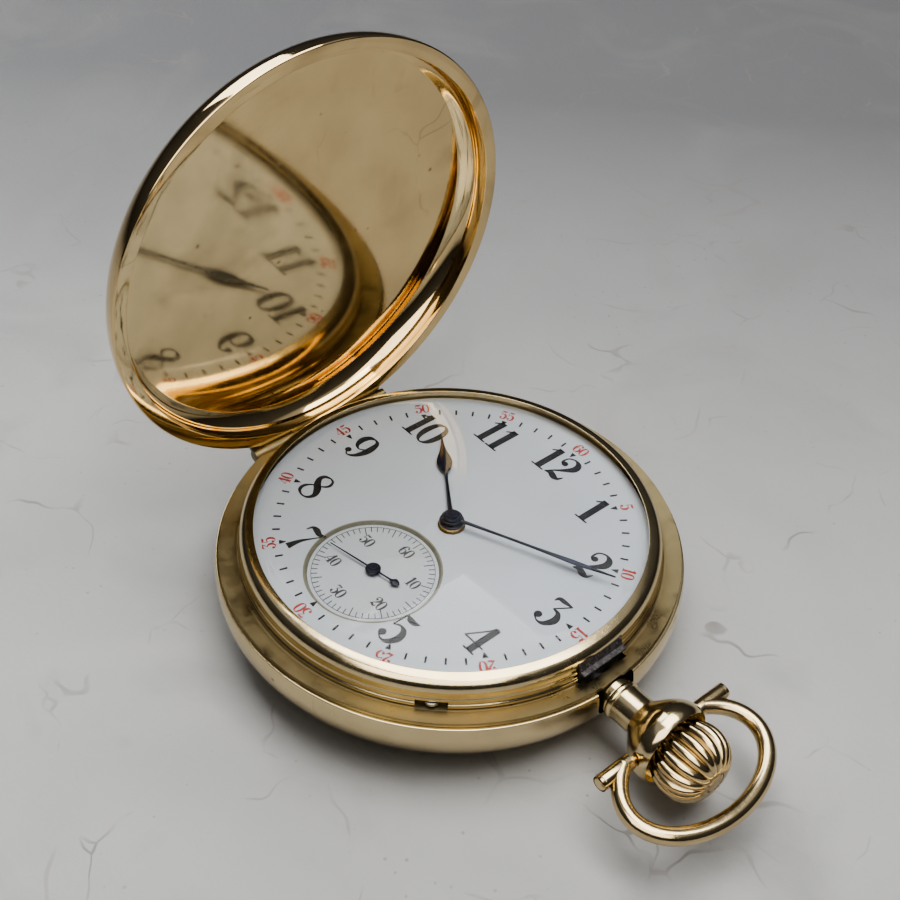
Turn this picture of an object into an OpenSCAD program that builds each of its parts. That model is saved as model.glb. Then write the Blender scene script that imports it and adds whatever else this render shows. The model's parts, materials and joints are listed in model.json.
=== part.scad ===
// Hunter pocket watch, lever set, stem wound, 16 size.
// Origin: centre of the small flat that the back rests on.
// +Z leaves the dial, +Y points to twelve o'clock, +X runs along the pendant.

/* [Case] */
// Outer diameter of the case at its widest
case_d = 50.8; // [50.6:0.1:51.2]
// Height of the dial's face above the resting flat
dial_z = 10; // [10:0.05:10.1]
// Radius of the small flat in the middle of the back
rest_r = 8; // [6:0.5:10]
// Angle at which the front lid is drawn, 90 is upright
lid_open = 86; // [60:1:90]
// Thickness of the gold sheet of the covers
sheet = 0.5; // [0.45:0.05:0.55]

/* [Pendant, crown and bow] */
// Distance of the crown's outer end from the watch's axis
crown_end_x = 37.9; // [37.5:0.1:38.5]
// Diameter of the crown
crown_d = 7.9; // [7.6:0.1:8]
// Number of flutes round the crown
crown_flutes = 18; // [14:1:24]
// Angle at which the bow droops
bow_droop = 10; // [-20:1:30]
// Diameter of the bow's wire
bow_wire_d = 1.75; // [1.6:0.05:1.8]

/* [Dial and hands] */
// Radius of the main dial
dial_r = 21.4; // [21:0.1:21.4]
// Distance of the seconds dial's centre below the middle
seconds_drop = 10.6; // [10.6:0.05:10.7]
// Radius of the sunk seconds dial
seconds_r = 6.8; // [6:0.1:6.9]
// Hour shown by the hands
show_hour = 10; // [0:1:11]
// Minute shown by the hands
show_minute = 11; // [0:1:59]
// Second shown by the small hand
show_second = 43; // [0:1:59]

/* [Movement] */
// Distance from the centre wheel to the barrel
barrel_dist = 9; // [9:0.01:9.02]
// Teeth of the centre wheel
centre_teeth = 64; // [64:1:64]
// Radius of the balance rim with its screws
balance_r = 6.5; // [6:0.1:6.5]

/* [Hidden] */
$fn = 96;
eps = 0.01;
gap = 0.05;                       // running clearance between faces

// Case heights and radii
band_r = case_d / 2;
band_z = dial_z - 3.8;            // height of the widest line
band_arc = 5.5;                   // radius of the rounded side
arc_centre = band_r - band_arc;
dome_r = 243;                     // shallow dome of the back
flange_r = band_r - 0.56;
flange_top = dial_z - 1.63;
flange_low = flange_top - 0.5;
ledge_r = band_r - 2.2;
ledge_z = dial_z - 1.88;
wall_r = 23.4;                    // outside of the inner wall
bore_r = 21.9;                    // inside of the inner wall
collar_r = 22.3;
collar_top = dial_z - 1.05;
wall_low = 2.75;

catch_top = dial_z - 0.55;

// Joint of the front lid
lid_x = -23.8;
lid_z = dial_z - 2;
lid_tube = 0.75;
lid_half = 9.4;
lid_knuckles = [-9.4, -3.9, -1.4, 1.4, 3.9, 9.4];
lid_rim = dial_z - 1.55;
lid_r = band_r - 0.8;

// Joint of the back lid
back_x = -24.05;
back_z = dial_z - 4.4;
back_tube = 0.8;
back_knuckles = [-6.6, -2.4, 2.4, 6.6];
back_flat_x = -24.9;

// Joint of the inner cover
cuv_x = -22.7;
cuv_z = 3.3;
cuv_tube = 0.45;
cuv_knuckles = [-4, -1.4, 1.4, 4];

pin_r = 0.35;                     // hinge pins of both lids
pin_gap = 0.03;
small_pin_r = 0.2;

// Pendant line
stem_z = band_z;
pivot_x = band_r + 6.2;
pivot_z = dial_z - 3.6;

// Movement levels
plate_r = 21.75;
plate_low = 6.6;
plate_top = 8;
seat_top = 9.05;
dial_low = dial_z - 0.9;
bridge_low = 3.1;
bridge_top = 4.2;
bridge_r = 20.6;
recess_top = 3.8;
wheel_low = 3.15;
wheel_top = 3.75;

// Movement centres
function polar(r, a) = [r * cos(a), r * sin(a)];
function angle_to(p, q) = atan2(q[1] - p[1], q[0] - p[0]);
function dist(p, q) = norm(q - p);
// The point at distance d1 from p and d2 from q, left of the line p to q for side 1
function meet(p, q, d1, d2, side) =
    let (d = dist(p, q), a = acos((d1 * d1 + d * d - d2 * d2) / (2 * d * d1)))
    p + polar(d1, angle_to(p, q) + side * a);

middle = [0, 0];
fourth = [0, -seconds_drop];
module_centre = 0.2;
module_third = 0.175;
module_fourth = 0.16;
module_wind = 0.3;
third_dist = module_centre * (centre_teeth + 8) / 2;
fourth_dist = module_third * (60 + 8) / 2;
escape_dist = module_fourth * (60 + 6) / 2;
crown_wheel = [12, 0];
ratchet_dist = module_wind * (30 + 46) / 2;
barrel = meet(middle, crown_wheel, barrel_dist, ratchet_dist, 1);
third = meet(middle, fourth, third_dist, fourth_dist, 1);
balance = [-10.5, -5.3];
escape = fourth + polar(escape_dist, 201.7);
fork_pivot = escape + polar(3.96, 127.3);
minute_stud = polar(3.6, 180);
click_pivot = barrel + polar(9.1, 128);
pinion_x = 16.5;

// Thread-sized parts
pillars = [[-7.5, 16.5], [14.5, 12.5], [18.2, -4.5], [-16.2, 8], [9.5, -16.5], [-3, -18.6], [15.5, -10]];
cock_foot = polar(19.6, 206.8);
fork_feet = [fork_pivot + polar(2.6, 190), fork_pivot + polar(2.4, 75)];
jewel_r = 0.8;
pivot_r = 0.18;
jewel_hole = 0.21;
foot_angles = [30, 150, 270];
foot_r = 17.5;
case_screw_angles = [75, 255];

cannon_r = 0.82;                  // tube that carries the minute hand

// Hand levels and angles, measured anticlockwise from +X
hour_z = dial_z + 0.5;
minute_z = dial_z + 1.05;
second_z = dial_z + 0.1;
minute_angle = 90 - 6 * show_minute;
hour_angle = 90 - 30 * show_hour - 0.5 * show_minute;
second_angle = 90 - 6 * show_second;

gold = "#c9ab67";
steel = "#9aa0a6";
nickel = "#b9b6ad";
brass = "#c8a24a";
enamel = "#f2f4f5";
black = "#15161a";
ruby = "#b5263a";

// ---------------------------------------------------------------- shared shapes

// Points of an arc in a plane
function arc(c, r, a0, a1, n = 12) = [for (i = [0:n]) c + polar(r, a0 + (a1 - a0) * i / n)];
// Points of a shallow dome over the axis, from radius r0 to r1
function dome(r0, r1, z, radius, flat, n = 8) =
    [for (i = [0:n]) let (r = r0 + (r1 - r0) * i / n) [r, z + (r * r - flat * flat) / (2 * radius)]];

// A ring about the watch's axis
module ring(r_out, r_in, z0, z1) {
    translate([0, 0, z0]) difference() {
        cylinder(r = r_out, h = z1 - z0);
        translate([0, 0, -1]) cylinder(r = r_in, h = z1 - z0 + 2);
    }
}

// A round bar standing at a place
module post(p, r, z0, z1) {
    translate([p[0], p[1], z0]) cylinder(r = r, h = z1 - z0);
}

// A round bar along Y, from y0 to y1
module rod_y(x, z, r, y0, y1) {
    translate([x, y0, z]) rotate([-90, 0, 0]) cylinder(r = r, h = y1 - y0);
}

// A round bar along X, from x0 to x1, on the pendant's line
module rod_x(r, x0, x1, z = stem_z) {
    translate([x0, 0, z]) rotate([0, 90, 0]) cylinder(r = r, h = x1 - x0);
}

// A block given by its lowest and highest corners
module block(low, high) {
    translate(low) cube(high - low);
}

// A flat bar with square ends between two points
module bar(p, q, w, z0, z1) {
    translate([p[0], p[1], z0]) rotate([0, 0, angle_to(p, q)])
        translate([0, -w / 2, 0]) cube([dist(p, q), w, z1 - z0]);
}

// A toothed wheel outline, with a tooth at angle 0
module teeth(n, m, head) {
    pitch = n * m / 2;
    step = 360 / n;
    polygon([for (i = [0:n - 1]) each [
        polar(pitch - 1.25 * m, (i - 0.22) * step),
        polar(pitch + head * m, (i - 0.08) * step),
        polar(pitch + head * m, (i + 0.08) * step),
        polar(pitch - 1.25 * m, (i + 0.22) * step)]]);
}

// A crossed-out train wheel: toothed rim, four arms and a hub
module spoked_wheel(n, m, z0, z1, turn) {
    pitch = n * m / 2;
    rim = pitch - 1.25 * m - 0.45;
    rotate([0, 0, turn]) translate([0, 0, z0]) linear_extrude(z1 - z0) difference() {
        teeth(n, m, 0.8);
        difference() {
            circle(r = rim);
            circle(r = 1.1);
            for (a = [0, 90]) rotate([0, 0, a]) square([2 * pitch, 0.55], center = true);
        }
    }
}

module pinion(n, m, z0, z1, turn) {
    rotate([0, 0, turn]) translate([0, 0, z0]) linear_extrude(z1 - z0) teeth(n, m, 0.6);
}

// An arbor with its two thin pivots
module arbor(r, z0, z1, pivot_low, pivot_high) {
    cylinder_between(r, z0, z1);
    cylinder_between(pivot_r, pivot_low, z0);
    cylinder_between(pivot_r, z1, pivot_high);
}

module cylinder_between(r, z0, z1) {
    translate([0, 0, z0]) cylinder(r = r, h = z1 - z0);
}

// A slotted screw that points to +Z, head first
module screw(p, head_r, shank_r, z_head, z_shoulder, z_end) {
    difference() {
        union() {
            post(p, head_r, z_head, z_shoulder);
            post(p, shank_r, z_head, z_end);
        }
        translate([p[0], p[1], z_head]) cube([3 * head_r, 0.28, 0.3], center = true);
    }
}

// Knuckles of a joint, from one cut to the next, every second one starting at first
module knuckles(x, z, r, cuts, first, clear = 0) {
    for (i = [first:2:len(cuts) - 2])
        rod_y(x, z, r, cuts[i] - clear + gap / 2, cuts[i + 1] + clear - gap / 2);
}

// ---------------------------------------------------------------- case

module case_profile() {
    polygon([[bore_r, wall_low], [wall_r - 0.4, wall_low], [wall_r - 0.4, 3.6], [wall_r, 3.8],
        [wall_r, flange_low], [flange_r, flange_low], [flange_r, flange_top], [ledge_r, ledge_z],
        [collar_r, ledge_z], [collar_r, collar_top], [bore_r - 0.05, collar_top], [bore_r - 0.05, plate_top],
        [bore_r, plate_top], [bore_r, plate_low], [bore_r - 0.5, plate_low - gap], [bore_r - 0.5, band_z],
        [bore_r, band_z]]);
}

// Built-out part of the band that carries both joints
module joint_seat() {
    intersection() {
        union() {
            block([-26, -lid_half, back_z + 1.05], [lid_x - eps, lid_half, lid_z - gap]);
            block([lid_x - 2 * eps, -lid_half, back_z + 1.05], [-22.5, lid_half, ledge_z]);
        }
        cylinder(r = band_r - 0.1, h = 20);
    }
    for (i = [0, 2])
        block([back_x, back_knuckles[i] + gap, back_z], [-22.5, back_knuckles[i + 1] - gap, back_z + 1.2]);
}

// Groove for a flat spring inside the wall
module spring_groove(a0, a1) {
    translate([0, 0, plate_top - 1.05]) rotate([0, 0, a0]) rotate_extrude(angle = a1 - a0)
        translate([bore_r - 0.3, 0]) square([1.45, 1]);
}

module case_centre() {
    color(gold) {
        difference() {
            union() {
                rotate_extrude() case_profile();
                joint_seat();
                intersection() {
                    ring(24.45, wall_r - 0.2, 7.3, flange_low + 0.1);
                    block([-14, -30, 7], [30, 30, 9]);
                }
            }
            // joint of the front lid
            block([-30, -7.4, lid_z - gap], [lid_x - 2 * eps, 7.4, 12]);
            knuckles(lid_x, lid_z, lid_tube + 0.1, lid_knuckles, 1, gap / 2);
            rod_y(lid_x, lid_z, pin_r + pin_gap, -12, 12);
            // joint of the back lid
            rod_y(back_x, back_z, back_tube + 0.25, back_knuckles[1], back_knuckles[2]);
            rod_y(back_x, back_z, pin_r + pin_gap, -12, 12);
            // joint of the inner cover
            block([-26, cuv_knuckles[1], wall_low - 1], [cuv_x + 0.7, cuv_knuckles[2], cuv_z + 0.7]);
            rod_y(cuv_x, cuv_z, small_pin_r + pin_gap, -5, 5);
            // pendant, catch, setting lever and spring grooves
            rod_x(1.8, 20, 26);
            block([21, -3.05, 6.95], [23.45, 3.05, 12]);
            rotate([0, 0, -45]) block([21, -1.7, dial_z - 1.65], [23, 1.7, 12]);
            spring_groove(-66, 5);
            spring_groove(108, 168);
        }
        difference() {
            knuckles(lid_x, lid_z, lid_tube, lid_knuckles, 0);
            rod_y(lid_x, lid_z, pin_r + pin_gap, -12, 12);
        }
        difference() {
            knuckles(back_x, back_z, back_tube, back_knuckles, 0);
            rod_y(back_x, back_z, pin_r + pin_gap, -12, 12);
        }
        difference() {
            knuckles(cuv_x, cuv_z, cuv_tube, cuv_knuckles, 0);
            rod_y(cuv_x, cuv_z, small_pin_r + pin_gap, -12, 12);
        }
    }
}

// Shell of the back: small flat, shallow dome and the rounded side up to the seam
module back_profile() {
    end = asin((flange_low - gap - band_z) / band_arc);
    inner_end = asin((flange_low - gap - band_z) / (band_arc - sheet));
    low = 4.8;
    polygon(concat([[0, 0]],
        dome(rest_r, arc_centre + band_arc * sin(low), 0, dome_r, rest_r),
        arc([arc_centre, band_z], band_arc, low - 90, end),
        arc([arc_centre, band_z], band_arc - sheet, inner_end, low - 90),
        [for (i = [8:-1:0]) dome(rest_r, arc_centre + 5 * sin(low), sheet, dome_r, rest_r)[i]],
        [[0, sheet]]));
}

module back_lid() {
    color(gold) {
        difference() {
            rotate_extrude() back_profile();
            // open notch round the pendant
            rod_x(2.4, 20, 30);
            block([20, -2.4, stem_z], [30, 2.4, 10]);
            // room for both joints
            block([-30, -9.9, back_z + 0.95], [-20, 9.9, 12]);
            block([-30, -6.8, 0], [back_flat_x, 6.8, 12]);
            block([-30, -7.6, back_z], [back_x + 1, 7.6, 12]);
            rod_y(back_x, back_z, back_tube + 0.15, -6.8, 6.8);
        }
        intersection() {
            difference() {
                union() {
                    knuckles(back_x, back_z, back_tube, back_knuckles, 1);
                    block([back_flat_x, -2.3, back_z - 1.6], [back_x, 2.3, back_z]);
                }
                rod_y(back_x, back_z, pin_r + pin_gap, -12, 12);
            }
            cylinder(r = band_r - 0.1, h = 20);
        }
    }
}

// Thin inner cover between the movement and the back
module cuvette() {
    floor_z = 1.65;
    rim_z = 2.35;
    t = 0.3;
    color(gold) {
        difference() {
            rotate_extrude() polygon([[0, floor_z], [20.9, floor_z], [21.6, rim_z], [22.9, rim_z],
                [22.9, rim_z + t], [21.5, rim_z + t], [20.8, floor_z + t], [0, floor_z + t]]);
            block([-30, -30, 0], [cuv_x, 30, 10]);
            for (i = [0, 2])
                rod_y(cuv_x, cuv_z, cuv_tube + 0.1, cuv_knuckles[i] - gap, cuv_knuckles[i + 1] + gap);
        }
        difference() {
            union() {
                knuckles(cuv_x, cuv_z, cuv_tube, cuv_knuckles, 1);
                block([cuv_x, -1.3, rim_z + t / 2], [cuv_x + 0.4, 1.3, cuv_z]);
            }
            rod_y(cuv_x, cuv_z, small_pin_r + pin_gap, -12, 12);
        }
    }
}

module front_hinge_pin() {
    color(steel) rod_y(lid_x, lid_z, pin_r, -lid_half, lid_half);
}

module back_hinge_pin() {
    color(steel) rod_y(back_x, back_z, pin_r, back_knuckles[0], back_knuckles[3]);
}

module cuvette_hinge_pin() {
    color(steel) rod_y(cuv_x, cuv_z, small_pin_r, cuv_knuckles[0], cuv_knuckles[3]);
}

// Lid section as it stands when shut: rounded rim, domed outside, nearly flat inside
module lid_profile() {
    side = 4.5;
    top = dial_z + 3.7;
    lean = 3.4;
    outer_dome = -341;
    inner_dome = -228;
    wall = lid_r - 1;
    polygon(concat(
        [[23.06, lid_rim], [lid_r - 0.1, lid_rim]],
        arc([lid_r - side, lid_rim + 0.15], side, 0, 90 - lean),
        [for (i = [7:-1:0]) dome(0, lid_r - side + 0.2, top, outer_dome, 0)[i]],
        dome(0, 22, top - 0.6, inner_dome, 0),
        [[22.25, dial_z + 1.8], [23, dial_z + 1.3], [23.45, dial_z + 0.6], [wall, dial_z - 0.4],
        [wall, dial_z - 0.8], [23.06, dial_z - 0.95]]));
}

module front_lid() {
    color(gold) translate([lid_x, 0, lid_z]) rotate([0, -lid_open, 0]) translate([-lid_x, 0, -lid_z])
        difference() {
            union() {
                difference() {
                    rotate_extrude() lid_profile();
                    block([-30, -30, 0], [lid_x, 30, 30]);
                }
                knuckles(lid_x, lid_z, lid_tube, lid_knuckles, 1);
            }
            knuckles(lid_x, lid_z, lid_tube + 0.1, lid_knuckles, 0, gap);
            rod_y(lid_x, lid_z, pin_r + pin_gap, -12, 12);
        }
}

module bezel() {
    foot = dial_z - 1.8;
    color(gold) difference() {
        rotate_extrude() polygon([[22.35, foot], [22.95, foot], [22.95, foot + 0.3], [22.75, foot + 0.5],
            [22.72, dial_z - 0.9], [22.6, dial_z - 0.66], [22.55, dial_z], [22.3, dial_z + 0.7],
            [21.95, dial_z + 1.2], [21.7, dial_z + 1.37], [21.55, dial_z + 1.3], [21.6, dial_z + 1.08],
            [21.88, dial_z + 1.05], [21.88, dial_z + 0.7], [21.65, dial_z + 0.6],
            [21.65, dial_z - 0.95], [22.35, dial_z - 1]]);
        block([21.45, -3.05, 5], [25, 3.05, catch_top + 0.15]);
        rotate([0, 0, -45]) block([20, -1.6, 5], [25, 1.6, dial_z - 1.1]);
    }
}

module crystal() {
    r = 21.8;
    color("#dfe8ea", 0.35) rotate_extrude() polygon(concat(
        [[r, dial_z + 0.74], [r, dial_z + 1.01], [21.4, dial_z + 1.05], [20.9, dial_z + 1.45],
        [20.2, dial_z + 1.75]],
        [for (i = [7:-1:0]) dome(0, 20.2, dial_z + 2.75, -210, 0)[i]],
        dome(0, 20, dial_z + 2.25, -220, 0),
        [[20.6, dial_z + 1.1], [21.1, dial_z + 0.74]]));
}

// ---------------------------------------------------------------- pendant, crown and bow

// Turned shapes on the pendant's line: outline of [x, radius] points
module turned_x(points) {
    translate([0, 0, stem_z]) rotate([0, 90, 0]) rotate_extrude()
        polygon([for (p = points) [p[1], p[0]]]);
}

module pendant() {
    neck = 2;
    bell = 4.4;
    bore = 1.4;
    color(gold) difference() {
        turned_x(concat([[22.2, bore], [22.2, 1.75], [24.9, 1.75], [24.9, neck], [25.8, neck]],
            arc([26.4, neck + 0.1], 0.5, 150, 30, 6),
            [[27, neck]],
            [for (i = [0:8]) [28.6 + 0.3 * i, neck + (bell - neck) * sin(i * 90 / 8)]],
            [[32.4, bell + 0.05], [33.2, bell], [33.2, bell - 0.25], [32.2, bell - 0.25], [32.2, bore]]));
        rod_y(pivot_x, pivot_z, 0.48, -6, 6);
    }
}

module pendant_sleeve() {
    color(steel) turned_x([[24.4, 1], [24.4, 1.36], [31.6, 1.36], [31.6, 1]]);
}

module crown() {
    r = crown_d / 2;
    x0 = 32.85;
    button = 1.2;
    flute_r = 0.45;
    color(gold) difference() {
        turned_x(concat([[x0, 0.95], [x0, r - 0.7], [x0 + 0.8, r - 0.3], [x0 + 1.7, r - 0.05],
            [x0 + 2.4, r]],
            [for (i = [1:7]) [x0 + 2.4 + (crown_end_x - x0 - 2.4) * sin(i * 90 / 7),
                button + (r - button) * cos(i * 90 / 7)]],
            [[crown_end_x, 0.01], [x0 + 3, 0.01], [x0 + 3, 0.95]]));
        for (i = [0:crown_flutes - 1])
            translate([0, 0, stem_z]) rotate([i * 360 / crown_flutes, 0, 0])
                translate([x0 + 0.9, 0, r + 0.1]) rotate([0, 90, 0]) cylinder(r = flute_r, h = 3.2);
    }
}

module winding_stem() {
    square_end = 21.3;
    color(steel) {
        rod_x(0.9, square_end, 35.8);
        translate([14.8, -0.6, stem_z - 0.6]) cube([square_end - 14.8 + eps, 1.2, 1.2]);
        rod_x(0.4, 13.4, 14.8 + eps);
    }
}

// A bent length of the bow's wire
module wire_arc(c, r, a0, a1, d) {
    translate([c[0], c[1], 0]) rotate([0, 0, a0]) rotate_extrude(angle = a1 - a0)
        translate([r, 0]) circle(d = d);
}

// Open ring of three tangent arcs that swings on two short barrels, a little thicker at its far end
module bow() {
    half_width = 8.63;
    reach = 9.66;
    side_x = 4.2;
    side_r = 4.38;
    side_y = half_width - side_r;
    turn = 2 * atan((reach - side_x - side_r) / side_y);
    far_r = side_r + side_y / sin(turn);
    last = acos(-side_x / side_r);
    lap = 2;
    color(gold) translate([pivot_x, 0, pivot_z]) rotate([0, bow_droop, 0]) difference() {
        union() {
            wire_arc([reach - far_r, 0], far_r, -turn - lap, turn + lap, bow_wire_d + 0.05);
            for (s = [0, 1]) mirror([0, s, 0]) {
                wire_arc([side_x, side_y], side_r, turn, last, bow_wire_d - 0.05);
                rod_y(0, 0, 0.97, 4.6, 8.4);
            }
        }
        for (s = [0, 1]) mirror([0, s, 0]) rod_y(0, 0, 0.45, 4, 9);
    }
}

module bow_screws() {
    color(steel) for (s = [0, 1]) mirror([0, s, 0]) difference() {
        union() {
            rod_y(pivot_x, pivot_z, 0.4, 3.6, 8.5);
            rod_y(pivot_x, pivot_z, 0.9, 8.43, 8.9);
        }
        translate([pivot_x, 8.9, pivot_z]) cube([3, 0.4, 0.22], center = true);
    }
}

// ---------------------------------------------------------------- case springs and lever

module lock_catch() {
    color(steel) difference() {
        union() {
            block([22.15, -2.9, 7.05], [22.8, 2.9, catch_top]);
            // nose that holds the lid's flange
            block([22.5, -2.9, catch_top - 0.23], [23.35, 2.9, catch_top]);
        }
        rod_x(1.9, 20, 26);
        // bevel that the lid's edge rides over
        translate([23.35, 0, catch_top]) rotate([0, 45, 0]) cube([0.2, 8, 0.2], center = true);
    }
}

module flat_spring(a0, a1) {
    color(steel) translate([0, 0, plate_top - 0.9]) rotate([0, 0, a0])
        rotate_extrude(angle = a1 - a0) translate([22.5, 0]) square([0.3, 0.7]);
}

module lock_spring() {
    flat_spring(-64, -8.5);
}

module lift_spring() {
    flat_spring(110, 166);
}

module setting_lever() {
    z0 = dial_z - 1.55;
    color(steel) rotate([0, 0, -45]) difference() {
        union() {
            block([16.6, -0.8, z0], [22.2, 0.8, z0 + 0.3]);
            translate([22.2, 0, z0]) cylinder(r = 0.8, h = 0.3);
        }
        translate([20.4, 0, z0 - 1]) cylinder(r = 0.3, h = 3);
    }
}

// ---------------------------------------------------------------- dial and hands

module dial() {
    color(enamel) {
        difference() {
            translate([0, 0, dial_low]) cylinder(r = dial_r, h = dial_z - dial_low);
            translate([0, 0, dial_low - 1]) cylinder(r = 1.5, h = 3);
            // bevelled well of the seconds dial
            translate([fourth[0], fourth[1], 0]) rotate_extrude() polygon([[0, dial_low - 1],
                [seconds_r + 0.05, dial_low - 1], [seconds_r + 0.05, dial_z - 0.3],
                [seconds_r + 0.3, dial_z + eps], [0, dial_z + eps]]);
        }
        for (a = foot_angles) post(polar(foot_r, a), 0.4, plate_low + 0.4, dial_low + eps);
    }
}

module seconds_dial() {
    color(enamel) difference() {
        post(fourth, seconds_r, dial_low, dial_z - 0.3);
        post(fourth, 0.4, dial_low - 1, dial_z);
    }
}

module dial_screws() {
    level = (plate_low + plate_top) / 2;
    color(steel) for (a = foot_angles) rotate([0, 0, a]) {
        rod_x(0.3, foot_r + 0.45, plate_r - 0.6, level);
        rod_x(0.5, plate_r - 0.6, plate_r - 0.1, level);
    }
}

// Outline of a hand from rows of [distance, half width]
module hand(rows, z, t, hub, hole) {
    translate([0, 0, z]) difference() {
        union() {
            linear_extrude(t) polygon(concat([for (r = rows) [r[0], r[1]]],
                [for (i = [len(rows) - 1:-1:0]) [rows[i][0], -rows[i][1]]]));
            cylinder(r = hub, h = t);
        }
        translate([0, 0, -1]) cylinder(r = hole, h = 3);
    }
}

module hour_hand() {
    tip = 14;
    color(black) rotate([0, 0, hour_angle]) {
        hand([[0, 0.45], [7.5, 0.22], [8.1, 0.45], [8.8, 0.78], [9.5, 0.9], [10.3, 0.78], [11.2, 0.48],
            [12.2, 0.26], [tip, 0.06]], hour_z, 0.22, 1.35, 1);
    }
}

module minute_hand() {
    tip = 18.6;
    color(black) rotate([0, 0, minute_angle]) {
        hand([[0, 0.35], [9.5, 0.18], [12, 0.28], [14, 0.36], [16, 0.24], [tip, 0.06]],
            minute_z, 0.2, 1.15, cannon_r + eps);
    }
}

module seconds_hand() {
    color(black) translate([fourth[0], fourth[1], 0]) rotate([0, 0, second_angle]) {
        hand([[-3.6, 0.05], [-2.9, 0.5], [-2.2, 0.1], [-1, 0.12], [1, 0.14], [5.9, 0.04]],
            second_z, 0.12, 0.8, pivot_r);
    }
}

// ---------------------------------------------------------------- plates and bridges

module arbor_places(r, z0, z1) {
    for (p = [third, fourth, escape, balance, fork_pivot]) post(p, r, z0, z1);
}

module pillar_plate() {
    color(nickel) difference() {
        union() {
            ring(plate_r, 0.75, plate_low, plate_top);
            ring(21.3, 20.2, plate_top - eps, seat_top);
            for (p = pillars) post(p, 1.3, bridge_top, plate_low + eps);
            for (p = fork_feet) post(p, 0.6, 4.7, plate_low + eps);
            post(minute_stud, 0.35, plate_top - eps, seat_top - 0.05);
        }
        for (p = pillars) post(p, 0.6, bridge_top - 1, plate_low);
        for (p = fork_feet) post(p, 0.25, 4, plate_low);
        post(barrel, 0.9, 6, 7.6);
        arbor_places(jewel_r + 0.01, 6, 7.15);
        arbor_places(0.35, 7, 9);
        post(cock_foot, 0.6, 6, 7.6);
        for (a = foot_angles) {
            post(polar(foot_r, a), 0.45, 6.8, 9);
            rotate([0, 0, a]) rod_x(0.35, foot_r, 22, (plate_low + plate_top) / 2);
            rotate([0, 0, a]) rod_x(0.55, plate_r - 0.65, 22, (plate_low + plate_top) / 2);
        }
        for (a = case_screw_angles) post(polar(21, a), 0.5, 6, 7.7);
        // winding work
        rod_x(1.1, 12.5, 23);
        block([pinion_x - 1.1, -2.7, 6], [pinion_x + 3.5, 2.7, 10]);
        block([21, -3.1, 7], [23, 3.1, 10]);
        rotate([0, 0, -45]) block([19, -1, dial_z - 1.65], [23, 1, 10]);
    }
}

// Seats and screw holes that every bridge needs
module bridge_holes() {
    for (p = pillars) {
        post(p, 0.6, 2, 5);
        post(p, 1.1, 2, 3.6);
    }
    for (p = [third, fourth, escape]) {
        post(p, jewel_r + 0.01, 3.6, 5);
        post(p, 0.35, 2, 5);
    }
    post(balance, 6.9, 2, 5);
}

module bridge_half(points) {
    translate([0, 0, bridge_low]) linear_extrude(bridge_top - bridge_low) intersection() {
        circle(r = bridge_r);
        polygon(points);
    }
}

module barrel_bridge() {
    color(nickel) difference() {
        union() {
            bridge_half([[-25, 2.2], [6.4, 2.2], [6.4, -5.5], [25, -5.5], [25, 25], [-25, 25]]);
            post(barrel, 7.9, bridge_low, bridge_top);
        }
        bridge_holes();
        post(barrel, 7.4, 2, recess_top);
        post(crown_wheel, 5, 2, recess_top);
        post(click_pivot, 2.9, 2, recess_top);
        post(barrel, 0.9, 2, 5);
        post(crown_wheel, 0.5, 2, 5);
        post(click_pivot, 0.3, 2, 5);
        block([pinion_x - 1.1, -2.6, 2], [pinion_x + 3.5, 2.6, 5]);
        post(middle, 1, 2, 5);
    }
}

module train_bridge() {
    color(nickel) difference() {
        bridge_half([[-3, 1.8], [6, 1.8], [6, -5.9], [25, -5.9], [25, -25], [-8.5, -25], [-8.5, -11], [-3, -3]]);
        bridge_holes();
        post(barrel, 8, 2, 5);
        post(middle, 0.52, 2, 5);
    }
}

module balance_cock() {
    out = angle_to(middle, balance);
    arm_low = 2.45;
    color(nickel) difference() {
        union() {
            intersection() {
                rotate([0, 0, out]) block([18.85, -4, arm_low], [22, 4, plate_low - eps]);
                cylinder(r = 20.9, h = 10);
            }
            rotate([0, 0, out]) block([12, -1.4, arm_low], [20, 1.4, 3]);
            post(balance, 2.1, arm_low, 3);
        }
        post(balance, jewel_r + 0.01, 2.6, 4);
        post(balance, 0.35, 2, 4);
        post(cock_foot, 0.6, 2, 7);
        post(cock_foot, 0.75, 2, 3);
    }
}

module pallet_bridge() {
    color(nickel) difference() {
        union() {
            for (p = fork_feet) bar(fork_pivot, p, 1.4, 4.4, 4.68);
            for (p = fork_feet) post(p, 0.7, 4.4, 4.68);
            post(fork_pivot, 0.8, 4.4, 4.68);
        }
        post(fork_pivot, jewel_hole, 4, 5);
        for (p = fork_feet) post(p, 0.25, 4, 5);
    }
}

module bridge_screws() {
    color(steel) {
        for (p = pillars) screw(p, 1, 0.5, 3.05, 3.58, 6.3);
        screw(cock_foot, 0.7, 0.5, 2.45, 2.98, 7.4);
    }
}

module case_screws() {
    color(steel) for (a = case_screw_angles) screw(polar(21, a), 0.83, 0.42, 5.6, 6.15, 7.5);
}

module jewel(p, z0, z1) {
    difference() {
        post(p, jewel_r, z0, z1);
        post(p, jewel_hole, z0 - 1, z1 + 1);
    }
}

module jewels() {
    color(ruby) {
        for (p = [third, fourth, escape, balance, fork_pivot]) jewel(p, 6.65, 7.13);
        for (p = [third, fourth, escape]) jewel(p, 3.65, 4.15);
        jewel(balance, 2.65, 2.98);
    }
}

// ---------------------------------------------------------------- barrel and winding work

barrel_turn = angle_to(middle, barrel);

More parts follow.
